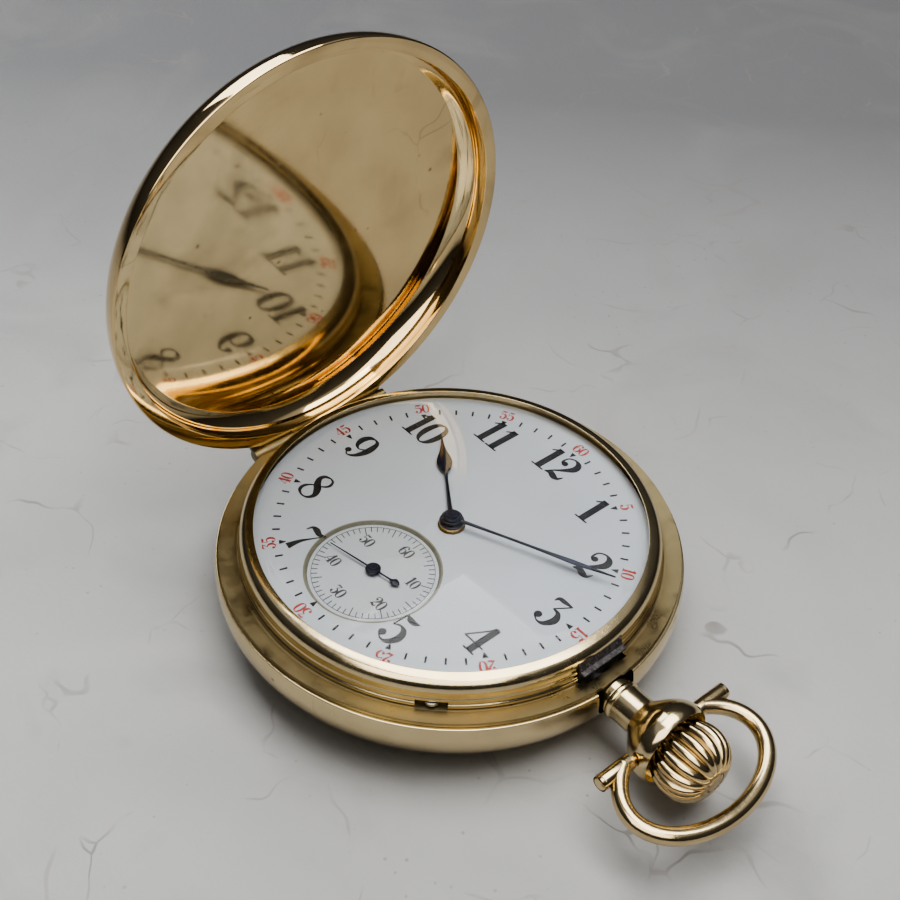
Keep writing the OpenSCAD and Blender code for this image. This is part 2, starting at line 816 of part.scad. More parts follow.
module mainspring_barrel() {
    color(brass) translate([barrel[0], barrel[1], 0]) difference() {
        union() {
            rotate([0, 0, barrel_turn + 180 + 180 / 80]) translate([0, 0, 4.35]) linear_extrude(0.6)
                teeth(80, 0.2, 0.8);
            cylinder_between(7.3, 4.35, 5.8);
        }
        translate([0, 0, 4.65]) cylinder(r = 6.9, h = 2);
        translate([0, 0, 4]) cylinder(r = 0.9, h = 2);
        translate([0, 0, 5.55]) cylinder(r = 7.1, h = 2);
    }
}

module barrel_cover() {
    color(brass) translate([barrel[0], barrel[1], 0]) ring(7.05, 0.9, 5.58, 5.8);
}

module barrel_arbor() {
    color(steel) translate([barrel[0], barrel[1], 0]) {
        cylinder_between(1.3, 4.7, 5.5);
        cylinder_between(0.85, 3.8, 7.4);
        translate([-0.6, -0.6, wheel_low]) cube([1.2, 1.2, 1]);
    }
}

// A flat strip wound as a spiral
module spiral(r0, r1, turns, w, z0, z1, per_turn = 20) {
    n = turns * per_turn;
    translate([0, 0, z0]) linear_extrude(z1 - z0) polygon(concat(
        [for (i = [0:n]) polar(r0 + (r1 - r0) * i / n, i * 360 / per_turn)],
        [for (i = [n:-1:0]) polar(r0 + (r1 - r0) * i / n + w, i * 360 / per_turn)]));
}

module mainspring() {
    color(steel) translate([barrel[0], barrel[1], 0]) spiral(1.45, 6.5, 6, 0.3, 4.75, 5.5);
}

module ratchet_wheel() {
    color(steel) translate([barrel[0], barrel[1], 0]) difference() {
        rotate([0, 0, angle_to(crown_wheel, barrel) + 180 + 180 / 46]) translate([0, 0, wheel_low])
            linear_extrude(wheel_top - wheel_low) teeth(46, module_wind, 0.8);
        translate([0, 0, wheel_low + 0.3]) cube([1.26, 1.26, 2], center = true);
    }
}

module ratchet_screw() {
    color(steel) translate([barrel[0], barrel[1], 0]) difference() {
        cylinder_between(1.6, 2.75, wheel_low - 0.01);
        translate([0, 0, 2.75]) cube([4, 0.3, 0.3], center = true);
    }
}

module crown_wheel_disc() {
    color(steel) translate([crown_wheel[0], crown_wheel[1], 0]) difference() {
        rotate([0, 0, angle_to(crown_wheel, barrel)]) translate([0, 0, wheel_low])
            linear_extrude(wheel_top - wheel_low) teeth(30, module_wind, 0.8);
        translate([0, 0, 2]) cylinder(r = 1.05, h = 3);
    }
}

module crown_wheel_screw() {
    color(steel) {
        difference() {
            post(crown_wheel, 1.7, 2.75, wheel_low - 0.01);
            translate([crown_wheel[0], crown_wheel[1], 2.75]) cube([4, 0.3, 0.3], center = true);
        }
        post(crown_wheel, 1, wheel_low - 0.02, recess_top - 0.01);
        post(crown_wheel, 0.45, recess_top - 0.02, bridge_top);
    }
}

module click() {
    away = angle_to(click_pivot, barrel);
    color(steel) translate([click_pivot[0], click_pivot[1], wheel_low]) rotate([0, 0, away]) difference() {
        linear_extrude(0.4) union() {
            circle(r = 0.75);
            polygon([[-0.5, -0.6], [0.5, -0.7], [1.55, 1.2], [1.7, 2], [1.1, 2], [-0.4, 0.7]]);
        }
        translate([0, 0, -1]) cylinder(r = 0.28, h = 3);
    }
}

module click_spring() {
    away = angle_to(click_pivot, barrel);
    color(steel) translate([click_pivot[0], click_pivot[1], wheel_low + 0.05]) rotate([0, 0, away]) {
        translate([-1.5, -0.9, 0]) linear_extrude(0.3) polygon([[0, 0], [0.18, 0], [0.18, 2.2], [0, 2.2]]);
        translate([-1.4, -1.1, 0]) cylinder(r = 0.35, h = 0.3);
    }
}

// Toothed wheel that turns about the stem
module stem_wheel(n, m, x0, x1, hole) {
    translate([x0, 0, stem_z]) rotate([0, 90, 0]) difference() {
        linear_extrude(x1 - x0) teeth(n, m, 0.6);
        translate([0, 0, -1]) cylinder(r = hole, h = 9);
    }
}

module winding_pinion() {
    color(steel) stem_wheel(16, 0.275, pinion_x - 0.9, pinion_x + 0.9, 0.9);
}

module clutch_pinion() {
    color(steel) difference() {
        union() {
            stem_wheel(14, 0.22, pinion_x + 0.95, pinion_x + 1.7, 0.9);
            rod_x(1.25, pinion_x + 1.6, pinion_x + 3);
            rod_x(1.6, pinion_x + 2.6, pinion_x + 3.2);
        }
        rod_x(0.9, pinion_x, pinion_x + 5);
    }
}

// ---------------------------------------------------------------- going train

module centre_wheel() {
    color(brass) {
        spoked_wheel(centre_teeth, module_centre, 5.95, 6.25, angle_to(middle, third));
        pinion(10, module_centre, 4.35, 5.9, barrel_turn);
        cylinder_between(0.9, 5.85, 6.5);
        cylinder_between(0.48, 3.2, 11.2);
    }
}

module third_wheel() {
    color(brass) translate([third[0], third[1], 0]) {
        spoked_wheel(60, module_third, 5, 5.25, angle_to(third, fourth));
        pinion(8, module_centre, 5.3, 6.45, angle_to(middle, third) + 180 + 180 / 8);
        arbor(0.4, 4.3, 6.5, 3.7, 7.1);
    }
}

module fourth_wheel() {
    color(brass) translate([fourth[0], fourth[1], 0]) {
        spoked_wheel(60, module_fourth, 4.5, 4.75, angle_to(fourth, escape));
        pinion(8, module_third, 4.9, 5.6, angle_to(third, fourth) + 180 + 180 / 8);
        arbor(0.35, 4.3, 6.5, 3.7, dial_z + 0.21);
    }
}

module escape_wheel() {
    count = 15;
    root = 2.75;
    tip = 3.4;
    color(steel) translate([escape[0], escape[1], 0]) {
        translate([0, 0, 4.95]) linear_extrude(0.25) difference() {
            polygon([for (i = [0:count - 1]) each [polar(root, (i + 0.1) * 24), polar(tip - 0.1, (i + 0.62) * 24),
                polar(tip, (i + 0.72) * 24), polar(root, (i + 0.5) * 24)]]);
            difference() {
                circle(r = 2.3);
                circle(r = 0.7);
                for (a = [0, 90]) rotate([0, 0, a]) square([6, 0.4], center = true);
            }
        }
        pinion(6, module_fourth, 4.4, 4.9, angle_to(fourth, escape) + 180 + 180 / 6);
        arbor(0.3, 4.3, 6.5, 3.7, 7.1);
    }
}

fork_out = angle_to(escape, fork_pivot);

module pallet_fork() {
    ends = [escape + polar(3.95, fork_out - 30), escape + polar(3.95, fork_out + 30)];
    reach = fork_pivot + polar(3.55, angle_to(fork_pivot, balance));
    color(steel) difference() {
        union() {
            for (q = ends) bar(fork_pivot, q, 0.5, 4.95, 5.25);
            for (q = ends) post(q, 0.42, 4.95, 5.25);
            bar(fork_pivot, reach, 0.5, 4.95, 5.25);
            post(reach, 0.55, 4.95, 5.25);
            post(fork_pivot, 0.6, 4.85, 5.6);
            post(fork_pivot, pivot_r, 4.45, 7.1);
        }
        bar(reach, reach + polar(2, angle_to(fork_pivot, balance)), 0.4, 4, 6);
        for (s = [-1, 1]) rotate_about(escape, fork_out + 30 * s) block([3.4, -0.21, 4], [4.15, 0.21, 6]);
    }
}

module rotate_about(p, a) {
    translate([p[0], p[1], 0]) rotate([0, 0, a]) children();
}

module pallet_stones() {
    color(ruby) for (s = [-1, 1]) rotate_about(escape, fork_out + 30 * s) block([3.62, -0.2, 4.93], [4.13, 0.2, 5.27]);
}

module balance_wheel() {
    color(brass) translate([balance[0], balance[1], 0]) {
        ring(balance_r - 0.5, balance_r - 1.1, 3.4, 4.2);
        difference() {
            translate([0, 0, 3.7]) linear_extrude(0.3) union() {
                square([2 * balance_r - 1.8, 0.8], center = true);
                circle(r = 0.9);
            }
            translate([0, 0, 3]) cylinder(r = 0.41, h = 2);
        }
    }
}

module balance_screws() {
    count = 14;
    color(brass) for (i = [0:count - 1])
        translate([balance[0], balance[1], 3.8]) rotate([0, 0, (i + 0.5) * 360 / count]) rotate([0, 90, 0])
            translate([0, 0, balance_r - 0.49]) cylinder(r = 0.33, h = 0.47);
}

module balance_staff() {
    color(steel) translate([balance[0], balance[1], 0]) {
        cylinder_between(0.4, 3.1, 4.9);
        cylinder_between(0.3, 4.9, 6.5);
        cylinder_between(pivot_r, 2.7, 3.1);
        cylinder_between(pivot_r, 6.5, 7.1);
    }
}

module impulse_roller() {
    color(ruby) translate([balance[0], balance[1], 0]) {
        ring(1.1, 0.4, 4.5, 4.78);
        rotate([0, 0, angle_to(balance, fork_pivot)]) translate([0.85, 0, 4.77]) cylinder(r = 0.14, h = 0.45);
    }
}

module hairspring() {
    color(steel) translate([balance[0], balance[1], 0]) {
        ring(0.62, 0.42, 3.12, 3.32);
        spiral(0.6, 3.6, 8, 0.1, 3.13, 3.3, 18);
    }
}

module regulator() {
    color(steel) translate([balance[0], balance[1], 0]) rotate([0, 0, angle_to(middle, balance) + 28]) {
        difference() {
            union() {
                cylinder_between(1.5, 2.1, 2.4);
                translate([1, -0.3, 2.1]) cube([5, 0.6, 0.3]);
                translate([-3.9, -0.3, 2.1]) cube([3, 0.6, 0.3]);
            }
            translate([0, 0, 1]) cylinder(r = 0.9, h = 3);
        }
        for (s = [-1, 1]) translate([-3.65, 0.17 * s, 2.39]) cylinder(r = 0.08, h = 0.6);
    }
}

module cannon_pinion() {
    color(steel) difference() {
        union() {
            pinion(12, 0.15, 8.15, 8.75, 180);
            cylinder_between(cannon_r, 8.7, dial_z + 1.4);
        }
        translate([0, 0, 5]) cylinder(r = 0.5, h = 10);
    }
}

module minute_wheel() {
    color(brass) translate([minute_stud[0], minute_stud[1], 0]) difference() {
        union() {
            spoked_wheel(36, 0.15, 8.2, 8.45, 180 / 36);
            pinion(10, 0.144, 8.4, 9, 0);
        }
        translate([0, 0, 7]) cylinder(r = 0.39, h = 3);
    }
}

module hour_wheel() {
    color(brass) difference() {
        union() {
            translate([0, 0, 8.8]) linear_extrude(0.22) rotate([0, 0, 180 + 180 / 40]) teeth(40, 0.144, 0.8);
            cylinder_between(1.3, 9, hour_z);
            cylinder_between(0.99, 9, hour_z + 0.25);
        }
        translate([0, 0, 8]) cylinder(r = 0.88, h = 5);
    }
}

case_centre();
pendant();
pendant_sleeve();
bezel();
crystal();
front_lid();
front_hinge_pin();
back_lid();
back_hinge_pin();
cuvette();
cuvette_hinge_pin();
lock_catch();
lock_spring();
lift_spring();
crown();
winding_stem();
bow();
bow_screws();
dial();
seconds_dial();
dial_screws();
hour_hand();
minute_hand();
seconds_hand();
pillar_plate();
barrel_bridge();
train_bridge();
balance_cock();
pallet_bridge();
bridge_screws();
case_screws();
mainspring_barrel();
barrel_cover();
barrel_arbor();
mainspring();
ratchet_wheel();
ratchet_screw();
crown_wheel_disc();  // crown_wheel
crown_wheel_screw();
click();
click_spring();
winding_pinion();
clutch_pinion();
setting_lever();
centre_wheel();
third_wheel();
fourth_wheel();
escape_wheel();
pallet_fork();
pallet_stones();
balance_wheel();
balance_screws();
balance_staff();
impulse_roller();
hairspring();
regulator();
cannon_pinion();
minute_wheel();
hour_wheel();
jewels();
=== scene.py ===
"""Looks of the hunter pocket watch: smooth gold shells, printed dial, hands, materials, floor and light."""
import json
import math
import bmesh
import bpy
from mathutils import Matrix, Vector


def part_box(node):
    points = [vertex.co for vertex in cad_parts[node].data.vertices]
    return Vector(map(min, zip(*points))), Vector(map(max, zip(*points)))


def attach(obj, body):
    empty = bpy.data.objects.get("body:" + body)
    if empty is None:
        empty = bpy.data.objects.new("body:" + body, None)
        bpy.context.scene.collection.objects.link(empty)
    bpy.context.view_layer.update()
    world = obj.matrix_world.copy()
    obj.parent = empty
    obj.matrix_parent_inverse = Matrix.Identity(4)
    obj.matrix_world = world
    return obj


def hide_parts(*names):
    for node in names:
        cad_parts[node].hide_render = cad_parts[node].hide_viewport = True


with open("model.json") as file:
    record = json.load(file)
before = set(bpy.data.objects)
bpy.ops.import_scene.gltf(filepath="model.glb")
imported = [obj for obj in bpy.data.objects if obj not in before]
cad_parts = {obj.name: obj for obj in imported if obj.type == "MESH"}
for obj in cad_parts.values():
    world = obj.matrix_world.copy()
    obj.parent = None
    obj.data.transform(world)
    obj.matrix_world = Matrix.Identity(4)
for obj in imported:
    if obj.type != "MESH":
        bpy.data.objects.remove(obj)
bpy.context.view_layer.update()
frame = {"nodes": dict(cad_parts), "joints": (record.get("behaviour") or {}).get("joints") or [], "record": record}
MM = 0.001

# ------------------------------------------------------------------ sizes, in millimetres, from the frame


def box_mm(node):
    """Lowest and highest corner of a CAD node, in millimetres."""
    low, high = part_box(node)
    return Vector(low) / MM, Vector(high) / MM


def joint(name):
    """A joint of the frame, by name."""
    return next(j for j in frame["joints"] if j["name"] == name)


def joint_place(name):
    """Where a joint is, in millimetres."""
    return Vector(joint(name)["pos_m"]) / MM


DIAL_Z = box_mm("dial")[1].z
BAND_R = box_mm("back_lid")[1].y
BAND_Z = DIAL_Z - 3.8
LID_R = BAND_R - 0.8
LID_RIM = DIAL_Z - 1.55
LID_OPEN = -joint("front_cover_hinge")["range_deg"][0]
LID_JOINT = joint_place("front_cover_hinge")
BACK_JOINT = joint_place("back_cover_hinge")
BOW_PIVOT = joint_place("bow_swing")
SECONDS = joint_place("second_spin")
CROWN_LOW, CROWN_HIGH = box_mm("crown")
# Thickness of the back, ends of the front joint's five knuckles along Y, and a place outside the case
SHEET = 0.5
KNUCKLES = [-9.4, -3.9, -1.4, 1.4, 3.9, 9.4]
BEYOND = 30
FOLD_SMOOTH = math.radians(32)

# ------------------------------------------------------------------ mesh helpers


def polar(r, angle):
    """Point at radius r and an angle in degrees."""
    return Vector((r * math.cos(math.radians(angle)), r * math.sin(math.radians(angle))))


def arc(centre, r, a0, a1, n=24):
    """Points along an arc from angle a0 to angle a1, in degrees."""
    return [Vector(centre) + polar(r, a0 + (a1 - a0) * i / n) for i in range(n + 1)]


def dome(r0, r1, z, radius, flat=0.0):
    """Profile points of a shallow dome between two radii; it is z high where the radius is flat."""
    n = 30
    rs = [r0 + (r1 - r0) * i / n for i in range(n + 1)]
    return [Vector((r, z + (r * r - flat * flat) / (2 * radius))) for r in rs]


def fillet(points, r):
    """Rounds the corners of a closed outline, leaving gentle bends alone."""
    n = 4
    gentle = math.radians(20)
    out = []
    count = len(points)
    for i, p in enumerate(points):
        a = Vector(points[i - 1]) - Vector(p)
        b = Vector(points[(i + 1) % count]) - Vector(p)
        bend = math.pi - a.angle(b) if a.length > 1e-6 and b.length > 1e-6 else 0
        if bend < gentle or p[0] < 1e-6:
            out.append(Vector(p))
            continue
        reach = min(r, 0.4 * a.length, 0.4 * b.length)
        start = Vector(p) + a.normalized() * reach
        end = Vector(p) + b.normalized() * reach
        for k in range(n + 1):
            t = k / n
            out.append(start * (1 - t) ** 2 + Vector(p) * 2 * t * (1 - t) + end * t * t)
    return out


def mark_folds(bm, fold):
    """Smooth shading, with sharp edges where faces fold more than an angle."""
    for face in bm.faces:
        face.smooth = True
    for edge in bm.edges:
        if len(edge.link_faces) == 2:
            edge.smooth = edge.calc_face_angle(0.0) < fold


def finish_mesh(name, bm, material, body, fold=FOLD_SMOOTH):
    """Turns a bmesh in millimetres into a smooth-shaded piece that rides on a body."""
    bmesh.ops.remove_doubles(bm, verts=bm.verts, dist=1e-5)
    bmesh.ops.recalc_face_normals(bm, faces=bm.faces)
    mark_folds(bm, fold)
    bmesh.ops.scale(bm, vec=(MM, MM, MM), verts=bm.verts)
    mesh = bpy.data.meshes.new(name)
    bm.to_mesh(mesh)
    bm.free()
    piece = bpy.data.objects.new(name, mesh)
    bpy.context.scene.collection.objects.link(piece)
    mesh.materials.append(material)
    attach(piece, body)
    return piece


def skin(bm, rows):
    """Joins rows of vertices into a tube; a row may repeat one vertex, where the tube closes to a point."""
    for low, high in zip(rows, rows[1:]):
        count = len(low)
        for k in range(count):
            m = (k + 1) % count
            corners = list(dict.fromkeys([low[k], low[m], high[m], high[k]]))
            if len(corners) > 2:
                bm.faces.new(corners)


def solid(bm, rows):
    """A tube through rows of vertices, with both ends closed."""
    skin(bm, rows)
    bm.faces.new(rows[0])
    bm.faces.new(rows[-1][::-1])


def revolve(bm, profile, steps=288):
    """Spins a closed outline of (radius, z) points about the watch's axis."""
    rings = []
    for p in profile:
        if p[0] < 1e-6:
            rings.append([bm.verts.new((0, 0, p[1]))] * steps)
            continue
        ring = [polar(p[0], 360 * k / steps) for k in range(steps)]
        rings.append([bm.verts.new((q.x, q.y, p[1])) for q in ring])
    skin(bm, rings + rings[:1])


def along_x(bm, centre):
    """Turns a shape spun about Z so that its axis lies along X through a place."""
    turn = Matrix.Rotation(math.radians(90), 4, "Y")
    bmesh.ops.transform(bm, matrix=Matrix.Translation(centre) @ turn, verts=bm.verts)


def bar_y(bm, x, z, r, y0, y1, edge=0.08):
    """A round bar along Y whose ends are rounded by an edge radius."""
    steps = 40
    bends = [math.radians(15 * i) for i in range(7)]
    low = [(r - edge + edge * math.sin(a), y0 + edge - edge * math.cos(a)) for a in bends]
    high = [(r - edge + edge * math.cos(a), y1 - edge + edge * math.sin(a)) for a in bends]
    outline = [(0, y0)] + low + high + [(0, y1)]
    rows = []
    for radius, y in outline:
        if radius < 1e-6:
            rows.append([bm.verts.new((x, y, z))] * steps)
            continue
        points = [polar(radius, 360 * k / steps) for k in range(steps)]
        rows.append([bm.verts.new((x + q.x, y, z + q.y)) for q in points])
    skin(bm, rows)


def block(bm, low, high):
    """A plain block, used as a cutter or as one part of a larger piece."""
    made = bmesh.ops.create_cube(bm, size=1)["verts"]
    size = Vector(high) - Vector(low)
    middle = (Vector(high) + Vector(low)) / 2
    bmesh.ops.scale(bm, vec=size, verts=made)
    bmesh.ops.translate(bm, vec=middle, verts=made)
    return made


def carve(piece, build_cutter):
    """Cuts a closed cutter, built by a function into a bmesh in millimetres, out of a piece."""
    bm = bmesh.new()
    build_cutter(bm)
    bmesh.ops.recalc_face_normals(bm, faces=bm.faces)
    bmesh.ops.scale(bm, vec=(MM, MM, MM), verts=bm.verts)
    mesh = bpy.data.meshes.new("cutter")
    bm.to_mesh(mesh)
    bm.free()
    cutter = bpy.data.objects.new("cutter", mesh)
    bpy.context.scene.collection.objects.link(cutter)
    modifier = piece.modifiers.new("carve", "BOOLEAN")
    modifier.operation = "DIFFERENCE"
    modifier.solver = "MANIFOLD"
    modifier.object = cutter
    graph = bpy.context.evaluated_depsgraph_get()
    cut_mesh = bpy.data.meshes.new_from_object(piece.evaluated_get(graph))
    piece.modifiers.clear()
    old = piece.data
    piece.data = cut_mesh
    bpy.data.meshes.remove(old)
    bpy.data.objects.remove(cutter)
    shaded = bmesh.new()
    shaded.from_mesh(piece.data)
    mark_folds(shaded, FOLD_SMOOTH)
    shaded.to_mesh(piece.data)
    shaded.free()


# ------------------------------------------------------------------ materials


class Nodes:
    """A short way to write a node material."""

    def __init__(self, name):
        self.material = bpy.data.materials.new(name)
        self.material.use_nodes = True
        self.tree = self.material.node_tree
        self.shader = self.tree.nodes["Principled BSDF"]
        self.coords = self.add("ShaderNodeTexCoord").outputs["Object"]

    def add(self, kind, **settings):
        node = self.tree.nodes.new(kind)
        for key, value in settings.items():
            setattr(node, key, value)
        return node

    def link(self, output, target):
        self.tree.links.new(output, target)

    def set(self, name, value):
        target = self.shader.inputs[name]
        if isinstance(value, bpy.types.NodeSocket):
            self.link(value, target)
        else:
            target.default_value = value

    def noise(self, scale, detail, stretch=None, distortion=0.0):
        """Cloudy noise; stretch draws it out into streaks."""
        node = self.add("ShaderNodeTexNoise")
        node.inputs["Scale"].default_value = scale
        node.inputs["Detail"].default_value = detail
        node.inputs["Distortion"].default_value = distortion
        source = self.coords
        if stretch:
            mapping = self.add("ShaderNodeMapping")
            mapping.inputs["Scale"].default_value = stretch
            mapping.inputs["Rotation"].default_value = (0.3, 0.5, 0.7)
            self.link(source, mapping.inputs["Vector"])
            source = mapping.outputs["Vector"]
        self.link(source, node.inputs["Vector"])
        return node.outputs["Fac"]

    def spots(self, scale, size):
        """1 inside small random spots, 0 elsewhere."""
        node = self.add("ShaderNodeTexVoronoi")
        node.inputs["Scale"].default_value = scale
        self.link(self.coords, node.inputs["Vector"])
        return self.ramp(node.outputs["Distance"], size * 0.5, size, 1, 0)

    def broken_lines(self, scale, width):
        """1 on thin wandering lines that fade in and out, like hairline scratches."""
        wander = self.add("ShaderNodeVectorMath", operation="MULTIPLY_ADD")
        bend = self.add("ShaderNodeTexNoise")
        bend.inputs["Scale"].default_value = scale * 0.8
        bend.inputs["Detail"].default_value = 3
        self.link(self.coords, bend.inputs["Vector"])
        self.link(bend.outputs["Color"], wander.inputs[0])
        wander.inputs[1].default_value = (1.5 / scale,) * 3
        self.link(self.coords, wander.inputs[2])
        cells = self.add("ShaderNodeTexVoronoi", feature="DISTANCE_TO_EDGE")
        cells.inputs["Scale"].default_value = scale
        self.link(wander.outputs[0], cells.inputs["Vector"])
        line = self.ramp(cells.outputs["Distance"], width * 0.4, width, 1, 0)
        return self.math("MULTIPLY", line, self.ramp(self.noise(scale * 1.3, 3), 0.53, 0.66, 0, 1))

    def ramp(self, value, from_low, from_high, to_low, to_high):
        """Maps one range of a value onto another, and holds its ends."""
        node = self.add("ShaderNodeMapRange")
        self.link(value, node.inputs["Value"])
        node.inputs["From Min"].default_value = from_low
        node.inputs["From Max"].default_value = from_high
        node.inputs["To Min"].default_value = to_low
        node.inputs["To Max"].default_value = to_high
        return node.outputs["Result"]

    def math(self, operation, a, b):
        node = self.add("ShaderNodeMath", operation=operation)
        for socket, value in zip(node.inputs, (a, b)):
            if isinstance(value, bpy.types.NodeSocket):
                self.link(value, socket)
            else:
                socket.default_value = value
        return node.outputs[0]

    def mix(self, factor, a, b):
        """Colour a where the factor is 0, and colour b where it is 1."""
        node = self.add("ShaderNodeMix", data_type="RGBA")
        colours = [s for s in node.inputs if s.type == "RGBA"]
        for socket, value in zip([node.inputs[0]] + colours, (factor, a, b)):
            if isinstance(value, bpy.types.NodeSocket):
                self.link(value, socket)
            elif isinstance(value, (tuple, list)):
                socket.default_value = (*value[:3], 1)
            else:
                socket.default_value = value
        return next(s for s in node.outputs if s.type == "RGBA")

    def crevice(self, distance):
        """1 in corners tighter than a distance in millimetres, 0 on open surfaces."""
        node = self.add("ShaderNodeAmbientOcclusion", samples=4, only_local=True)
        node.inputs["Distance"].default_value = distance * MM
        return self.ramp(node.outputs["AO"], 0.35, 0.85, 1, 0)

    def bump(self, height, strength, distance):
        """Relief as deep as a distance in millimetres."""
        node = self.add("ShaderNodeBump")
        node.inputs["Strength"].default_value = strength
        node.inputs["Distance"].default_value = distance * MM
        self.link(height, node.inputs["Height"])
        self.link(node.outputs["Normal"], self.shader.inputs["Normal"])


TARNISH = (0.13, 0.075, 0.03)


def gold(name, colour=(0.70, 0.57, 0.34), rough=0.13, tarnish=0.7, scratch=0.12, blotch=0.12):
    """Old polished gold: cloudy polish, hairline scratches, pits and brown tarnish in corners."""
    m = Nodes(name)
    cloud = m.noise(180, 3)
    fine = m.noise(2600, 6)
    hair_a = m.noise(900, 3, stretch=(1, 14, 14))
    hair_b = m.noise(700, 3, stretch=(16, 1, 12))
    pits = m.math("MULTIPLY", m.spots(420, 0.13), m.ramp(m.noise(150, 2), 0.54, 0.6, 0, 1))
    hairline = m.broken_lines(70, 0.012)
    bloom = m.math("MULTIPLY", m.ramp(m.noise(75, 6, distortion=0.8), 0.56, 0.74, 0, 1), blotch)
    corner = m.crevice(0.7)
    stain = m.math("MULTIPLY", corner, m.ramp(cloud, 0.35, 0.65, 0.7, 1.0))
    stain = m.math("MULTIPLY", stain, tarnish)
    deep = tuple(c * 0.86 for c in colour)
    base = m.mix(m.ramp(cloud, 0.3, 0.7, 0, 1), colour, deep)
    base = m.mix(stain, base, TARNISH)
    base = m.mix(m.math("MULTIPLY", pits, 0.6), base, TARNISH)
    base = m.mix(m.math("MAXIMUM", bloom, m.math("MULTIPLY", hairline, 0.25)), base, TARNISH)
    m.set("Base Color", base)
    m.set("Metallic", 1.0)
    patchy = m.ramp(m.noise(320, 5), 0.35, 0.7, rough * 0.75, rough * 1.6)
    scratchy = m.math("ADD", patchy, m.ramp(hair_a, 0.58, 0.72, 0, 0.10))
    scratchy = m.math("ADD", scratchy, m.math("MULTIPLY", corner, 0.25))
    m.set("Roughness", scratchy)
    height = m.math("ADD", m.ramp(hair_a, 0.55, 0.7, 0, 1), m.ramp(hair_b, 0.57, 0.7, 0, 1))
    height = m.math("SUBTRACT", height, m.math("MULTIPLY", pits, 2.0))
    height = m.math("ADD", height, m.math("MULTIPLY", fine, 0.3))
    m.bump(height, scratch, 0.01)
    return m.material


def steel(name):
    """Ground steel with a fine grain and dull patches."""
    m = Nodes(name)
    colour = (0.50, 0.50, 0.51)
    rough = 0.28
    grain_lines = m.noise(1500, 4, stretch=(1, 20, 20))
    dark = tuple(c * 0.55 for c in colour)
    base = m.mix(m.ramp(m.noise(260, 4), 0.35, 0.7, 0, 0.3), colour, dark)
    base = m.mix(m.math("MULTIPLY", m.crevice(0.4), 0.6), base, (0.05, 0.04, 0.03))
    m.set("Base Color", base)
    m.set("Metallic", 1.0)
    m.set("Roughness", m.math("ADD", m.ramp(grain_lines, 0.3, 0.7, rough * 0.8, rough * 1.3), 0.02))
    m.bump(grain_lines, 0.15, 0.01)
    return m.material


def pitted_steel(name):
    """Dull catch block: dark, pitted, with bright worn flecks."""
    m = Nodes(name)
    fleck = m.ramp(m.noise(3800, 6), 0.55, 0.70, 0, 1)
    patch = m.ramp(m.noise(1500, 5), 0.35, 0.65, 0, 1)
    base = m.mix(patch, (0.025, 0.024, 0.026), (0.075, 0.068, 0.070))
    base = m.mix(m.math("MULTIPLY", fleck, 0.6), base, (0.30, 0.24, 0.23))
    m.set("Base Color", base)
    m.set("Metallic", 0.4)
    m.set("Roughness", m.ramp(patch, 0, 1, 0.62, 0.45))
    m.bump(m.math("ADD", fleck, patch), 0.7, 0.05)
    return m.material


def blued(name):
    """Blue-black hands with a thin lacquer-like shine."""
    m = Nodes(name)
    cloud = m.noise(400, 3)
    base = m.mix(m.ramp(cloud, 0.3, 0.7, 0, 1), (0.007, 0.008, 0.014), (0.01, 0.014, 0.04))
    m.set("Base Color", base)
    m.set("Metallic", 0.35)
    m.set("Roughness", m.ramp(m.noise(1500, 4), 0.3, 0.7, 0.26, 0.4))
    m.bump(m.noise(3000, 4), 0.08, 0.01)
    return m.material


def enamel(name, colour=(0.60, 0.63, 0.675)):
    """Fired enamel: glossy, faintly wavy, with a trace of grime and pinholes."""
    m = Nodes(name)
    cloud = m.noise(120, 3)
    grime = m.ramp(m.noise(90, 5, distortion=0.6), 0.62, 0.8, 0, 0.18)
    pin = m.spots(160, 0.035)
    tint = tuple(c * 0.97 for c in colour)
    base = m.mix(m.ramp(cloud, 0.35, 0.65, 0, 1), colour, tint)
    base = m.mix(grime, base, (0.60, 0.58, 0.50))
    base = m.mix(m.math("MULTIPLY", pin, 0.5), base, (0.25, 0.22, 0.18))
    m.set("Base Color", base)
    m.set("Roughness", m.ramp(m.noise(500, 3), 0.3, 0.7, 0.16, 0.24))
    m.set("Coat Weight", 0.5)
    m.set("Coat Roughness", 0.06)
    m.bump(m.noise(260, 2), 0.05, 0.02)
    return m.material


def ink(name, colour, fade=0.35):
    """Printed ink with thin, worn places; the same film also carries the painted shade on the seconds well's wall.
    """
    m = Nodes(name)
    thin = m.ramp(m.noise(2500, 5), 0.5, 0.75, 0, fade)
    pale = tuple(min(1.0, c + 0.3) for c in colour)
    m.set("Base Color", m.mix(thin, colour, pale))
    m.set("Roughness", m.ramp(m.noise(1800, 3), 0.3, 0.7, 0.28, 0.42))
    m.bump(m.noise(3000, 3), 0.1, 0.005)
    return m.material


def clear_glass(name):
    """Crystal: clear film with a Fresnel shine and faint scratches."""
    m = Nodes(name)
    see = m.add("ShaderNodeBsdfTransparent")
    see.inputs["Color"].default_value = (0.985, 0.99, 0.99, 1)
    shine = m.add("ShaderNodeBsdfGlossy")
    scratch = m.ramp(m.noise(800, 3, stretch=(1, 16, 16)), 0.62, 0.72, 0.015, 0.05)
    m.link(scratch, shine.inputs["Roughness"])
    fresnel = m.add("ShaderNodeFresnel")
    fresnel.inputs["IOR"].default_value = 1.5
    shine_share = 0.13
    strength = m.math("MULTIPLY", fresnel.outputs[0], shine_share)
    mix = m.add("ShaderNodeMixShader")
    m.link(strength, mix.inputs[0])
    m.link(see.outputs[0], mix.inputs[1])
    m.link(shine.outputs[0], mix.inputs[2])
    output = next(n for n in m.tree.nodes if n.type == "OUTPUT_MATERIAL")
    m.link(mix.outputs[0], output.inputs["Surface"])
    return m.material


